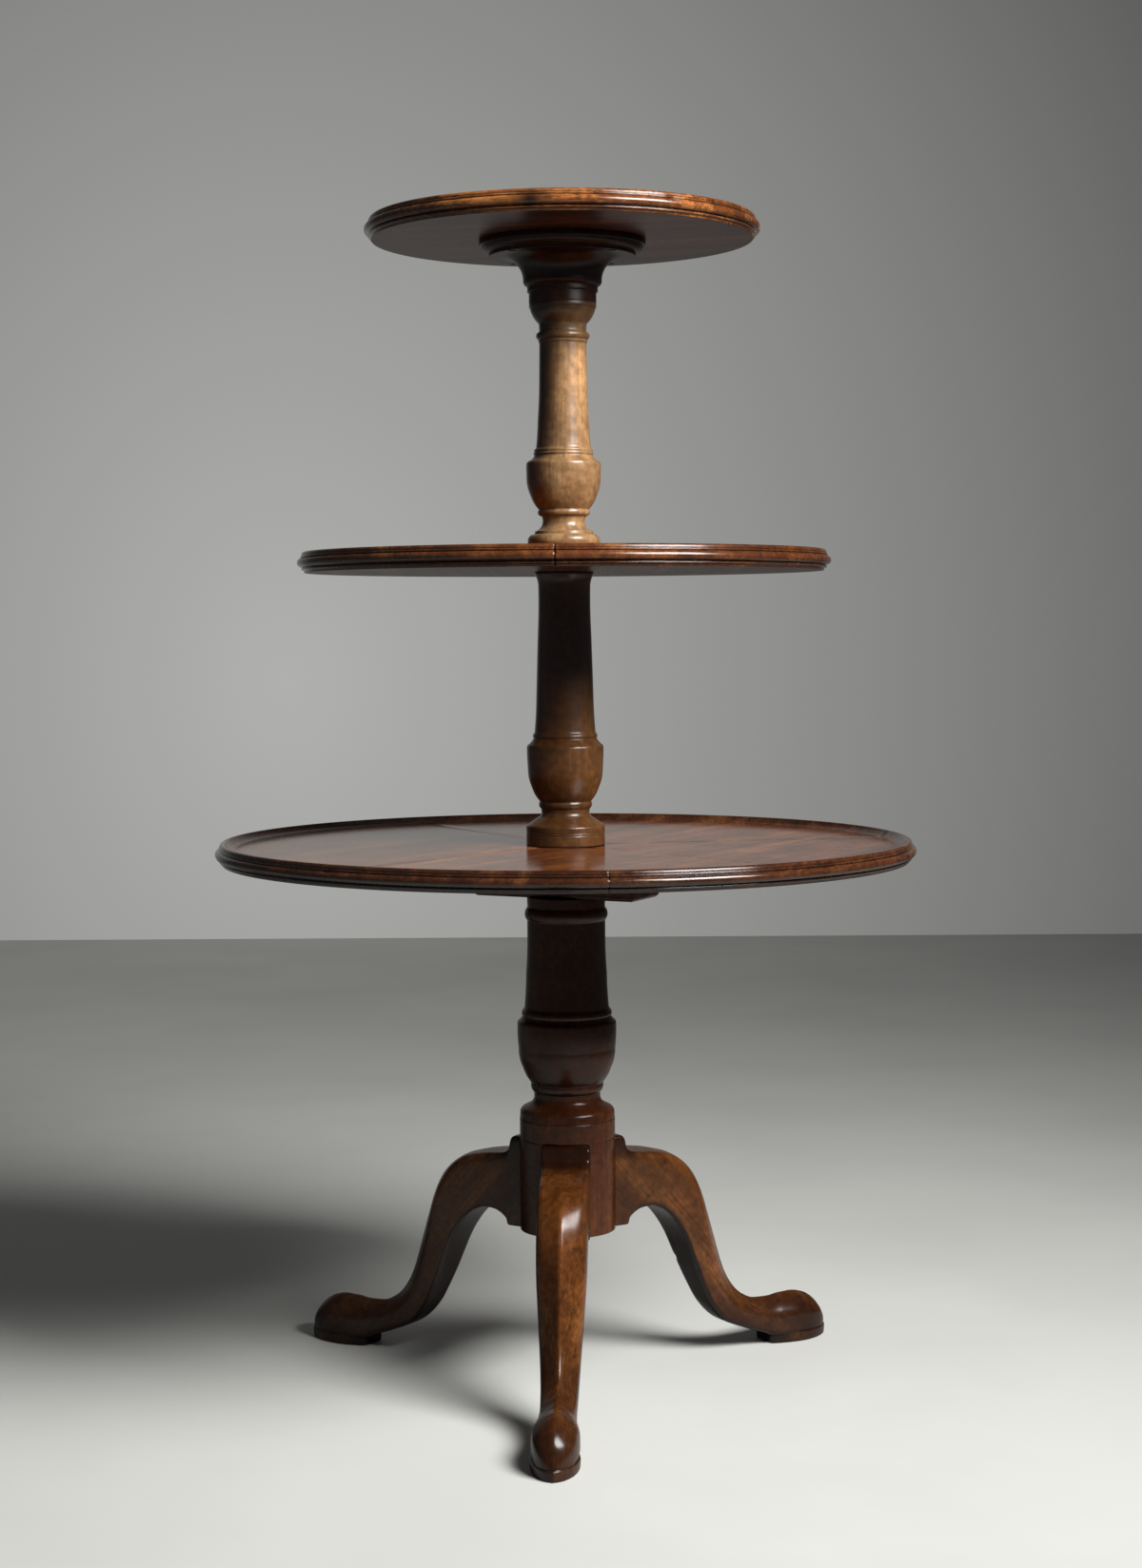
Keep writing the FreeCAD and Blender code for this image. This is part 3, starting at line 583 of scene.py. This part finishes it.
# Carved legs. Each row is one section of a leg from the column to the toe: reach and height of its
# front, reach and height of its back, half width, how far its front falls from the ridge to the
# sides, and how square its front and its back are (2 is an ellipse, 20 a box). Lengths in mm.
LEG_SECTIONS = np.array([
    (36.1, 216, 36.1, 135, 21.5, 0, 24, 24),
    (43.2, 216, 43, 135, 21.5, 0, 24, 24),
    (46.4, 214, 45.6, 135, 21.5, 0, 22, 24),
    (47.4, 210.8, 47.4, 135, 21.5, 0, 20, 24),
    (48.8, 205.4, 48.9, 135, 21.5, 0, 18, 24),
    (54, 200.9, 50.2, 135.3, 21.5, 0, 14, 22),
    (62, 199.2, 51.4, 139.6, 21.5, 0.2, 12, 20),
    (72, 198.2, 57.5, 144.9, 21.5, 0.4, 10, 18),
    (85, 196.6, 66, 148, 21.5, 0.8, 9, 16),
    (99, 193.6, 76, 148.6, 21.5, 1.7, 8, 15),
    (117, 184.8, 88, 144.3, 21.5, 5.8, 7.5, 14),
    (132, 171, 98, 136.5, 21.5, 11, 7, 13),
    (142.3, 152, 107.5, 125, 21.4, 13.4, 6.6, 12),
    (149.6, 131, 115, 112.5, 20.9, 14.6, 6.2, 11),
    (155.6, 112, 121.5, 98, 20, 15.2, 5.8, 10),
    (161.2, 94, 128.5, 81.5, 18.9, 15.2, 5.4, 9),
    (167.2, 77, 136.5, 64.5, 17.7, 14.8, 5, 8),
    (175.4, 62, 147, 45.5, 16.5, 13.8, 4.6, 7),
    (187, 50, 163, 29, 15.6, 12.2, 4.2, 6),
    (202.5, 43.2, 185, 19, 15.2, 9.6, 3.6, 5),
    (219, 42.4, 205, 11.5, 16.2, 9.4, 3.2, 5),
    (231, 43.6, 216, 7.5, 18, 9.4, 2.9, 6),
    (244, 43.8, 234, 7, 19.6, 9.2, 2.8, 8),
    (257, 41.2, 251, 7, 19, 8.6, 2.8, 8),
    (267.5, 35.6, 264, 7, 16.2, 7, 2.8, 8),
    (275.5, 27, 273, 7, 11.6, 4.8, 2.7, 8),
    (279.8, 16.5, 278.6, 7, 6.2, 2.2, 2.5, 6),
    (281.4, 9, 281.2, 7, 1.8, 0.3, 2.2, 4),
])
SECTION_STEPS = 9
SECTION_POINTS = 176
RIDGE_ROUNDING = 0.07

# Knocks and cracks in the legs: height, share towards the front, way to the side, size and depth in
# mm, and how dark they are. Towards the front they all reach the same share.
LEG_MARKS = {
    "leg_front": np.array([
        (149, 0.7, 15, 2.2, 0.5, 0.8), (145, 0.7, 17, 1.8, 0.4, 0.8), (141, 0.7, 13, 1.5, 0.3, 0.6),
    ]),
    "leg_right": np.array([(88, -1, 18, 2.2, 1.5, 0.9), (83, -1, -17, 2, 1, 0.9)]),
    "leg_left": np.array([(76, -1, 15, 2.4, 0.8, 0.6)]),
}
MARK_SHARE = 0.5

# Parts of a leg made darker by old polish and painted shade, and paler by wear: weight, then where
# along the share towards the front, the height and the reach, in mm, it begins and is full. The
# pale ridge also fades with the share to the side.
LEG_PATCHES = {
    "ear": (0.85, ("ahead", 0.1, 0.8), ("height", 188, 200), ("reach", 66, 52)),
    # Darker along the underside: partly old polish, partly painted shade.
    "under": (0.9, ("ahead", -0.7, -0.97), ("reach", 52, 66), ("reach", 225, 190)),
    "foot": (0.72, ("height", 95, 18), ("reach", 120, 175)),
    # Painted shade: darker just above the sole and under the ankle.
    "above_sole_shade": (0.6, ("height", 14, 9), ("reach", 190, 215)),
    "knee": (0.18, ("ahead", 0.3, 0.9), ("reach", 60, 95), ("reach", 165, 140)),
    "ridge": (0.2, ("ahead", 0.3, 0.8), ("reach", 120, 145)),
}
RIDGE_WIDTH = 0.09

# Sole of a foot: reach and half width of its outline from the heel to the toe, in mm, and its
# upright edge from the middle of its underside to the middle of its top: share of the outline,
# height in mm. Then the reach of its spine, and how dark it is from heel to toe: old polish all
# along, and near black at the heel as painted shade where the shadow under the ankle falls.
SOLE_OUTLINE = np.array([
    (213.6, 0), (213.9, 8), (214.6, 12.2), (219, 14.6), (227, 17.2), (237, 19.5), (247, 20.4),
    (256, 19.4), (264, 17.2), (271, 13.9), (277, 9.7), (281, 5.2), (283.5, 0),
])
SOLE_EDGE = np.array([
    (0, 0), (0.5, 0), (0.93, 0), (0.962, 0.3), (0.98, 1.2), (0.99, 3), (1, 6.6), (0.998, 7.6),
    (0.985, 8.5), (0.95, 9), (0.8, 9), (0, 9),
])
SOLE_SPINE = (232, 262)
# The heel's near black is painted shade; the toe's darkness is old polish.
HEEL_STAIN_AND_SHADE, TOE_STAIN = 0.97, 0.67
HEEL_TO_TOE = (224, 240)
OUTLINE_STEPS = 10
EDGE_STEPS = 4


def rise(value, low, high):
    """Zero at low, one at high, and between them three times the square less twice the cube of the
    way. Where low is the larger, it falls."""
    t = np.clip((value - low) / (high - low), 0, 1)
    return t * t * (3 - 2 * t)


def turned_profile(rows, loop):
    """Radius and height along a turned outline. Each chord becomes the arc whose rise is its bulge
    share of the chord. The line is walked in even steps, its corners are rounded by a bell-weighted
    mean of neighbours, and points are kept by how far the line runs and how much it turns."""
    start, end = rows[:-1, None, :2], rows[1:, None, :2]
    half = 2 * np.arctan(2 * rows[1:, None, 2:3])
    half = np.where(np.abs(half) < STRAIGHT, STRAIGHT, half)
    t = np.linspace(-1, 1, ARC_POINTS, endpoint=False)[None, :, None]
    chord = end - start
    right = np.stack([chord[..., 1], -chord[..., 0]], axis=-1)
    along = np.sin(half * t) / (2 * np.sin(half))
    out = (np.cos(half * t) - np.cos(half)) / (2 * np.sin(half))
    arcs = (start + end) / 2 + chord * along + right * out
    line = np.concatenate([arcs.reshape(-1, 2), rows[-1:, :2]])

    run = np.append(0, np.cumsum(np.linalg.norm(np.diff(line, axis=0), axis=1)))
    even = np.linspace(0, run[-1], int(run[-1] / WALK_STEP))
    reach = int(BELL_REACH * CORNER_GATHER / WALK_STEP)
    offsets = np.arange(-reach, reach + 1) * WALK_STEP
    bell = np.exp(-(offsets / CORNER_ROUNDING) ** 2 / 2)
    wide_bell = np.exp(-(offsets / CORNER_GATHER) ** 2 / 2)
    walk = np.stack([np.interp(even, run, field) for field in line.T], axis=1)
    if loop:
        padded = np.concatenate([walk[-reach - 1:-1], walk, walk[1:reach + 1]])
    else:
        padded = np.pad(walk, ((reach, reach), (0, 0)), mode="reflect", reflect_type="odd")
    walk = np.stack([np.convolve(field, bell / bell.sum(), "valid") for field in padded.T], axis=1)

    way = np.gradient(walk, axis=0)
    turning = np.abs(np.gradient(np.unwrap(np.arctan2(way[:, 1], way[:, 0]))))
    spread = np.convolve(turning, wide_bell / wide_bell.sum(), "same")
    bend = OWN_TURN * turning + (1 - OWN_TURN) * spread
    kept = np.cumsum(WALK_STEP / LONGEST_STEP + bend / WIDEST_TURN)
    chosen = np.linspace(kept[0], kept[-1], int(kept[-1]))
    return np.stack([np.interp(chosen, kept, field) for field in walk.T], axis=1)


def bells(marks, radius, height, angle):
    """Sum over the marks of their depth times a bell curve of the way round and the way up from
    their middle, with nothing inside their inner radius, or outside their outer one."""
    middle_angle, middle_height, wide, high, depth, inner = marks.T[:, :, None, None]
    away = (angle - np.radians(middle_angle) + math.pi) % (2 * math.pi) - math.pi
    inside = np.clip((radius - np.abs(inner)) * np.sign(inner) / MARK_FADE, 0, 1)
    inside = np.where(inner == 0, 1, inside)
    bell = np.exp(-(away * radius / wide) ** 2 - ((height - middle_height) / high) ** 2)
    return (depth * inside * bell).sum(0)


def turned_skin(rows, node, segments, loop):
    """Outline turned about the column axis: at angle a a point lies at radius times cos(a), radius
    times sin(a) and its height, pushed in along the outline's normal by the marks."""
    profile = turned_profile(rows, loop)[0 if loop else 1:-1]
    way = np.gradient(profile, axis=0)
    way = way / np.linalg.norm(way, axis=1, keepdims=True)
    radius, height = profile[:, :1], profile[:, 1:]
    marks = MARKS[node]
    close = np.radians(marks[:, :1]) + MARK_POINTS * marks[:, 2:3] / radius.max()
    level = np.linspace(0, 2 * math.pi, segments, endpoint=False)
    angle = np.unique(np.round(np.append(level, close) % (2 * math.pi), ANGLE_DIGITS))[None]
    depth = bells(marks, radius, height, angle)
    stain_and_shade, rub_and_light = (
        np.clip(bells(table[node], radius, height, angle), 0, 1) for table in (STAINS_AND_SHADE, RUBS_AND_LIGHT))
    pushed = radius - depth * way[:, 1:]
    raised = height + depth * way[:, :1]
    rings = [pushed * np.cos(angle), pushed * np.sin(angle), raised, stain_and_shade, rub_and_light]
    return closed_skin(np.stack(rings, axis=-1), loop)


def smooth_rows(rows, steps):
    """Rows of numbers made finer: each column becomes a cubic curve through its values whose slope
    at a row is the harmonic mean of the two steps beside it, or zero where they turn round."""
    step = np.diff(rows, axis=0)
    slope = np.zeros_like(rows)
    slope[0], slope[-1] = step[0], step[-1]
    before, after = step[:-1], step[1:]
    total = np.where(before * after > 0, before + after, 1)
    slope[1:-1] = np.where(before * after > 0, 2 * before * after / total, 0)
    t = np.linspace(0, 1, steps, endpoint=False)[None, :, None]
    start, end = rows[:-1, None, :], rows[1:, None, :]
    leave, arrive = slope[:-1, None, :], slope[1:, None, :]
    fine = (
        (2 * t ** 3 - 3 * t ** 2 + 1) * start + (t ** 3 - 2 * t ** 2 + t) * leave
        + (3 * t ** 2 - 2 * t ** 3) * end + (t ** 3 - t ** 2) * arrive)
    return np.concatenate([fine.reshape(-1, rows.shape[1]), rows[-1:]])


def closed_skin(rings, loop=False):
    """Points and faces of rings of points joined one to the next. A loop joins the last ring to the
    first, and otherwise both ends are drawn to the middle of their ring."""
    count, around, width = rings.shape
    points = rings.reshape(-1, width)
    ring, spot = np.meshgrid(
        np.arange(count if loop else count - 1), np.arange(around), indexing="ij")
    after, above = (spot + 1) % around, (ring + 1) % count
    quads = np.stack([
        ring * around + spot, ring * around + after, above * around + after, above * around + spot,
    ], axis=-1).reshape(-1, 4)
    if loop:
        return points, [quads]
    points = np.concatenate([points, rings[0].mean(0)[None], rings[-1].mean(0)[None]])
    spot, after = spot[0], after[0]
    last = (count - 1) * around
    first_cap = np.stack([after, spot, np.full(around, count * around)], axis=-1)
    last_cap = np.stack([last + spot, last + after, np.full(around, count * around + 1)], axis=-1)
    return points, [quads, first_cap, last_cap]


def leg_skin(marks):
    """Leg along +X. A point at angle a of a section lies at share cos(a) from its middle towards
    its front and share sin(a) towards its side, both pushed out until the sum of their powers, as
    high as the section is square, is one. The front half then falls from the ridge towards the
    sides."""
    rows = smooth_rows(LEG_SECTIONS, SECTION_STEPS)
    front, back, half_width, fall = rows[:, 0:2], rows[:, 2:4], rows[:, 4:5], rows[:, 5:6]
    angle = np.linspace(0, 2 * math.pi, SECTION_POINTS, endpoint=False)[None, :]
    ahead, aside = np.cos(angle), -np.sin(angle)
    square = np.where(ahead > 0, rows[:, 6:7], rows[:, 7:8])
    push = (np.abs(ahead) ** square + np.abs(aside) ** square) ** (-1 / square)
    ahead, aside = ahead * push, aside * push
    span = np.linalg.norm(front - back, axis=1, keepdims=True)
    from_ridge = np.sqrt(aside ** 2 + RIDGE_ROUNDING ** 2) - RIDGE_ROUNDING
    along = ahead * span / 2 - fall * from_ridge * np.clip((ahead + 1) / 2, 0, 1)
    side = aside * half_width
    way = (front - back) / span
    middle = (front + back) / 2
    height = middle[:, 1:2] + way[:, 1:2] * along

    at_height, at_front, at_side, size, depth, dark = marks.T[:, :, None, None]
    off = ((height - at_height) ** 2 + (side - at_side) ** 2) / size ** 2
    hollow = np.exp(-off - ((ahead - at_front) / MARK_SHARE) ** 2)
    shrink = 1 - (depth * hollow).sum(0) / np.hypot(along, side)
    along, side = along * shrink, side * shrink
    reach = middle[:, 0:1] + way[:, 0:1] * along
    height = middle[:, 1:2] + way[:, 1:2] * along

    fields = {"ahead": ahead, "height": height, "reach": reach}
    patches = {
        name: weight * np.prod(
            [rise(fields[field], low, high) for field, low, high in ramps], axis=0)
        for name, (weight, *ramps) in LEG_PATCHES.items()}
    left_bare = np.prod([1 - patches[name] for name in ("ear", "under", "foot", "above_sole_shade")], axis=0)
    stain_and_shade = 1 - left_bare * (1 - (dark * hollow).sum(0).clip(0, 1))
    ridge = patches["ridge"] * np.exp(-(aside / RIDGE_WIDTH) ** 2)
    rub_and_light = np.clip(patches["knee"] + ridge, 0, 1) * (1 - patches["foot"])
    return closed_skin(np.stack([reach, side, height, stain_and_shade, rub_and_light], axis=-1))


def sole_skin():
    """Sole along +X: the outline, drawn in towards its spine by each share of the edge, at each
    height of the edge."""
    side = smooth_rows(SOLE_OUTLINE, OUTLINE_STEPS)
    outline = np.concatenate([side * (1, -1), side[-2:0:-1]])
    edge = smooth_rows(SOLE_EDGE, EDGE_STEPS)[1:-1]
    spine = np.clip(outline[:, 0], *SOLE_SPINE)
    reach = spine + (outline[:, 0] - spine) * edge[:, 0:1]
    width = outline[:, 1] * edge[:, 0:1]
    height = np.broadcast_to(edge[:, 1:2], reach.shape)
    stain_and_shade = HEEL_STAIN_AND_SHADE + (TOE_STAIN - HEEL_STAIN_AND_SHADE) * rise(reach, *HEEL_TO_TOE)
    return closed_skin(np.stack([reach, width, height, stain_and_shade, np.zeros_like(stain_and_shade)], axis=-1))


def new_piece(name, skins, angle, material):
    """Object from skins in mm, turned about the column axis to an angle, with the darkening of
    stains and painted shade, and the paling of wear and painted light, on its points."""
    faces, start = [], 0
    for points, blocks in skins:
        faces += [corners for block in blocks for corners in (block + start).tolist()]
        start += len(points)
    points = np.concatenate([points for points, blocks in skins])
    x, y, z = points[:, :3].T * MM
    cosine, sine = math.cos(angle), math.sin(angle)
    turned = np.stack([x * cosine - y * sine, x * sine + y * cosine, z], axis=1)
    mesh = bpy.data.meshes.new(name)
    mesh.from_pydata(turned.tolist(), [], faces)
    mesh.polygons.foreach_set("use_smooth", np.ones(len(mesh.polygons), bool))
    for field, values in zip(("stain_and_shade", "rub_and_light"), points[:, 3:].T):
        data = mesh.attributes.new(field, "FLOAT", "POINT").data
        data.foreach_set("value", values.astype(np.float32))
    mesh.materials.append(material)
    mesh.update()
    piece = bpy.data.objects.new(name, mesh)
    bpy.context.scene.collection.objects.link(piece)
    return piece


def lay_flat(piece, material, height):
    """Gives the level faces of a tray at a height a finish of their own."""
    mesh = piece.data
    middle, way = np.empty((2, 3 * len(mesh.polygons)), np.float32)
    mesh.polygons.foreach_get("center", middle)
    mesh.polygons.foreach_get("normal", way)
    slots = np.empty(len(mesh.polygons), np.int32)
    mesh.polygons.foreach_get("material_index", slots)
    level = (np.abs(middle[2::3] - height) < FLAT) & (np.abs(way[2::3]) > LEVEL)
    slots[level] = len(mesh.materials)
    mesh.materials.append(material)
    mesh.polygons.foreach_set("material_index", slots)


def stand_for(piece, body, node):
    """Makes a piece ride on a body in place of a CAD node, which it hides."""
    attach(piece, body)
    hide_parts(node)


def wear_material(node, material):
    """Puts a material in every slot of a CAD node's object."""
    for material_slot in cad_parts[node].material_slots:
        material_slot.material = material


def column_rows(shares, underside, height, radius, socket, socket_end, pin, pin_end, chamfer):
    """Outline of a column section in mm: socket, turned shaft, shoulder and pin."""
    shaft = np.stack(
        [shares[:, 1] * radius, underside + shares[:, 0] * height, shares[:, 2]], axis=1)
    below = [(0, socket_end, 0), (socket, socket_end, 0), (socket, underside, 0)]
    above = [
        (pin, underside + height, 0), (pin, pin_end - chamfer, 0), (pin - chamfer, pin_end, 0),
        (0, pin_end, 0)]
    return np.concatenate([below, shaft, above])


def tray_rows(radius, underside, bore, rim_height, rim_width, floor_thickness):
    """Outline of a dished tray in mm: underside, rim, dish and bore. Without a bore it ends on the
    axis."""
    up, inset, bulge = RIM_SHARES.T
    rim = np.stack([radius - inset * rim_width, underside + up * rim_height, bulge], axis=1)
    floor = underside + floor_thickness
    dish = [(radius - rim_width, floor, DISH_COVE_BULGE), (bore, floor, 0)]
    end = [(bore, underside, 0)] if bore > 0 else []
    return np.concatenate([[(bore, underside, 0)], rim, dish + end])


def grain_level(angle):
    """Turn that lays level grain at an angle about the column along +X."""
    return (0, 0, -angle)


def grain_down_leg(angle, slope):
    """Turn that lays grain falling outwards along a leg along +X."""
    return tuple((Matrix.Rotation(-slope, 3, "Y") @ Matrix.Rotation(-angle, 3, "Z")).to_euler())


class TRAYTABLE_OT_columns(bpy.types.Operator):
    """Turns the two upper column sections and dresses all three"""

    bl_idname = "tray_table.columns"
    bl_label = "Columns"

    def execute(self, context):
        wood, look = context.scene.tray_table_mahogany, context.scene.tray_table_columns
        wear_material("lower_column", mahogany(
            "turned", "lower_column", wood, look.lower, look.lower_pale, look.lower_finish,
            GRAIN_UP))
        for node, shares in COLUMN_SHARES.items():
            section = getattr(context.scene, "tray_table_" + node)
            sizes = (
                section.underside, section.height, section.radius, section.socket,
                section.underside + look.socket_depth, section.pin, section.pin_end,
                look.pin_chamfer)
            rows = column_rows(shares, *np.array(sizes) / MM)
            skin = turned_skin(rows, node, COLUMN_SEGMENTS, loop=False)
            material = mahogany(
                "turned", node, wood, section.wood, section.wood_pale, look.upper_finish, GRAIN_UP)
            stand_for(new_piece("turned_" + node, [skin], 0, material), "stand", node)
        return {"FINISHED"}


class TRAYTABLE_OT_trays(bpy.types.Operator):
    """Turns the three trays"""

    bl_idname = "tray_table.trays"
    bl_label = "Trays"

    def execute(self, context):
        wood, look = context.scene.tray_table_mahogany, context.scene.tray_table_trays
        below = context.scene.tray_table_undersides
        for tier in ("bottom", "middle", "top"):
            node = tier + "_tray"
            board = getattr(context.scene, "tray_table_" + node)
            tone, pale, grain = board.wood, board.wood_pale, grain_level(board.grain)
            sizes = (
                board.radius, board.underside, board.bore, look.rim_height, look.rim_width,
                look.floor_thickness)
            rows = tray_rows(*np.array(sizes) / MM)
            skin = turned_skin(rows, node, TRAY_SEGMENTS, loop=board.bore > 0)
            dished = mahogany("dished", node, wood, tone, pale, board.finish, grain)
            piece = new_piece("dished_" + node, [skin], 0, dished)
            bare = mahogany("planed", node, wood, below.wood, below.wood_pale, below.finish, grain)
            lay_flat(piece, bare, board.underside)
            if tier != "bottom":
                worn = mahogany("worn", node, wood, tone, pale, look.dull_finish, grain)
                lay_flat(piece, worn, board.underside + look.floor_thickness)
            stand_for(piece, tier + "_turning_tray", node)
        return {"FINISHED"}


class TRAYTABLE_OT_carriers(bpy.types.Operator):
    """Dresses the bearer and the flange that carry trays"""

    bl_idname = "tray_table.carriers"
    bl_label = "Bearer and flange"

    def execute(self, context):
        scene = context.scene
        wood, below = scene.tray_table_mahogany, scene.tray_table_undersides
        carriers = {
            "bottom_tray_bearer": (
                "planed", below.wood, below.wood_pale, scene.tray_table_trays.bearer_grain),
            "top_tray_flange": (
                "turned", below.flange, below.flange_pale, scene.tray_table_top_tray.grain),
        }
        for node, (made, tone, pale, angle) in carriers.items():
            wear_material(node, mahogany(
                made, node, wood, tone, pale, below.finish, grain_level(angle)))
        return {"FINISHED"}


class TRAYTABLE_OT_legs(bpy.types.Operator):
    """Carves the three legs with their soles"""

    bl_idname = "tray_table.legs"
    bl_label = "Legs"

    def execute(self, context):
        wood, look = context.scene.tray_table_mahogany, context.scene.tray_table_legs
        angles = {"leg_right": look.right, "leg_left": look.left, "leg_front": look.front}
        for node, angle in angles.items():
            grain = grain_down_leg(angle, look.grain_slope)
            material = mahogany(
                "carved", node, wood, look.wood, look.wood_pale, look.finish, grain)
            skins = [leg_skin(LEG_MARKS[node]), sole_skin()]
            stand_for(new_piece("carved_" + node, skins, angle, material), "stand", node)
        return {"FINISHED"}


class TRAYTABLE_OT_ironwork(bpy.types.Operator):
    """Dresses the plate and the screws"""

    bl_idname = "tray_table.ironwork"
    bl_label = "Ironwork"

    def execute(self, context):
        iron = forged_iron("forged_iron", context.scene.tray_table_iron)
        for node in ("column_plate", "column_plate_screws", "bearer_screws", "flange_screws"):
            wear_material(node, iron)
        return {"FINISHED"}


def sheet(name, corners, material):
    """Flat four-cornered sheet of the stage."""
    mesh = bpy.data.meshes.new(name)
    mesh.from_pydata(corners, [], [(0, 1, 2, 3)])
    mesh.materials.append(material)
    piece = bpy.data.objects.new(name, mesh)
    bpy.context.scene.collection.objects.link(piece)
    return piece


def lamp(name, watts, spot, aim):
    """Area lamp at a place, facing a point."""
    light = bpy.data.lights.new(name, "AREA")
    light.energy = watts
    holder = bpy.data.objects.new(name, light)
    holder.location = spot
    holder.rotation_euler = (Vector(aim) - Vector(spot)).to_track_quat("-Z", "Y").to_euler()
    bpy.context.scene.collection.objects.link(holder)
    return holder


class TRAYTABLE_OT_stage(bpy.types.Operator):
    """Makes the floor, the wall, the lights and the camera"""

    bl_idname = "tray_table.stage"
    bl_label = "Stage"

    def execute(self, context):
        scene = context.scene
        look = scene.tray_table_stage
        back, side, top = look.wall_distance, look.room, look.room_height
        floor = sheet(
            "floor", [(-side, -side, 0), (side, -side, 0), (side, back, 0), (-side, back, 0)],
            painted("rolled_floor_paint", look))
        wall = sheet(
            "wall", [(-side, back, 0), (side, back, 0), (side, back, top), (-side, back, top)],
            glowing_backdrop("backdrop_painted_glow", look))

        key = lamp("key", look.key, look.key_place, look.key_aim).data
        key.shape = "RECTANGLE"
        key.size = look.key_width
        key.size_y = look.key_height
        key.spread = look.key_spread

        # The light from behind is for the table only, so that the floor keeps one soft shadow.
        back_lamp = lamp("back", look.back, look.back_place, look.back_aim)
        back_lamp.data.size = look.back_size
        back_lamp.visible_glossy = False
        left_out = bpy.data.collections.new("left_out_of_back_light")
        back_lamp.light_linking.receiver_collection = left_out
        for piece in (floor, wall):
            left_out.objects.link(piece)
        for member in left_out.collection_objects:
            member.light_linking.link_state = "EXCLUDE"

        world = bpy.data.worlds.new("soft_fill")
        world.use_nodes = True
        tree = world.node_tree
        level = add(tree, "Mix", {0: seen_rays(tree), 2: look.fill, 3: look.backdrop})
        plug(tree, tree.nodes["Background"], {"Color": (*look.sky, 1), "Strength": level})
        scene.world = world

        camera = bpy.data.cameras.new("camera")
        camera.lens = look.lens
        camera_stand = bpy.data.objects.new("camera", camera)
        camera_stand.matrix_world = (
            Matrix.Translation(look.camera_place)
            @ Matrix.Rotation(math.radians(90) - look.pitch, 4, "X")
            @ Matrix.Rotation(look.roll, 4, "Z"))
        scene.collection.objects.link(camera_stand)
        scene.camera = camera_stand
        scene.view_settings.view_transform = "Standard"
        return {"FINISHED"}


STEPS = (
    TRAYTABLE_OT_stage, TRAYTABLE_OT_columns, TRAYTABLE_OT_trays, TRAYTABLE_OT_carriers,
    TRAYTABLE_OT_legs, TRAYTABLE_OT_ironwork,
)
GROUPS = {
    "tray_table_mahogany": MahoganySettings,
    "tray_table_columns": ColumnSettings,
    "tray_table_middle_column": MiddleColumnSettings,
    "tray_table_upper_column": UpperColumnSettings,
    "tray_table_trays": TraySettings,
    "tray_table_bottom_tray": BottomTraySettings,
    "tray_table_middle_tray": MiddleTraySettings,
    "tray_table_top_tray": TopTraySettings,
    "tray_table_undersides": UndersideSettings,
    "tray_table_legs": LegSettings,
    "tray_table_iron": IronSettings,
    "tray_table_stage": StageSettings,
}


class TRAYTABLE_PT_panel(bpy.types.Panel):
    """Lists the steps and their settings"""

    bl_idname = "TRAYTABLE_PT_panel"
    bl_label = "Tray table"
    bl_space_type = "VIEW_3D"
    bl_region_type = "UI"
    bl_category = "Tray table"

    def draw(self, context):
        for step in STEPS:
            self.layout.operator(step.bl_idname)
        for group_name in GROUPS:
            group = getattr(context.scene, group_name)
            for key in group.bl_rna.properties.keys():
                if key not in ("rna_type", "name"):
                    self.layout.prop(group, key)


def register():
    """Registers the settings, the steps and the panel."""
    for group_name, group in GROUPS.items():
        bpy.utils.register_class(group)
        setattr(bpy.types.Scene, group_name, PointerProperty(type=group))
    for step in (*STEPS, TRAYTABLE_PT_panel):
        bpy.utils.register_class(step)


def unregister():
    """Takes back what register added."""
    for step in (TRAYTABLE_PT_panel, *reversed(STEPS)):
        bpy.utils.unregister_class(step)
    for group_name, group in reversed(GROUPS.items()):
        delattr(bpy.types.Scene, group_name)
        bpy.utils.unregister_class(group)


def main():
    """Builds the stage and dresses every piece."""
    register()
    bpy.ops.tray_table.stage()
    bpy.ops.tray_table.columns()
    bpy.ops.tray_table.trays()
    bpy.ops.tray_table.carriers()
    bpy.ops.tray_table.legs()
    bpy.ops.tray_table.ironwork()


if __name__ == "__main__":
    main()
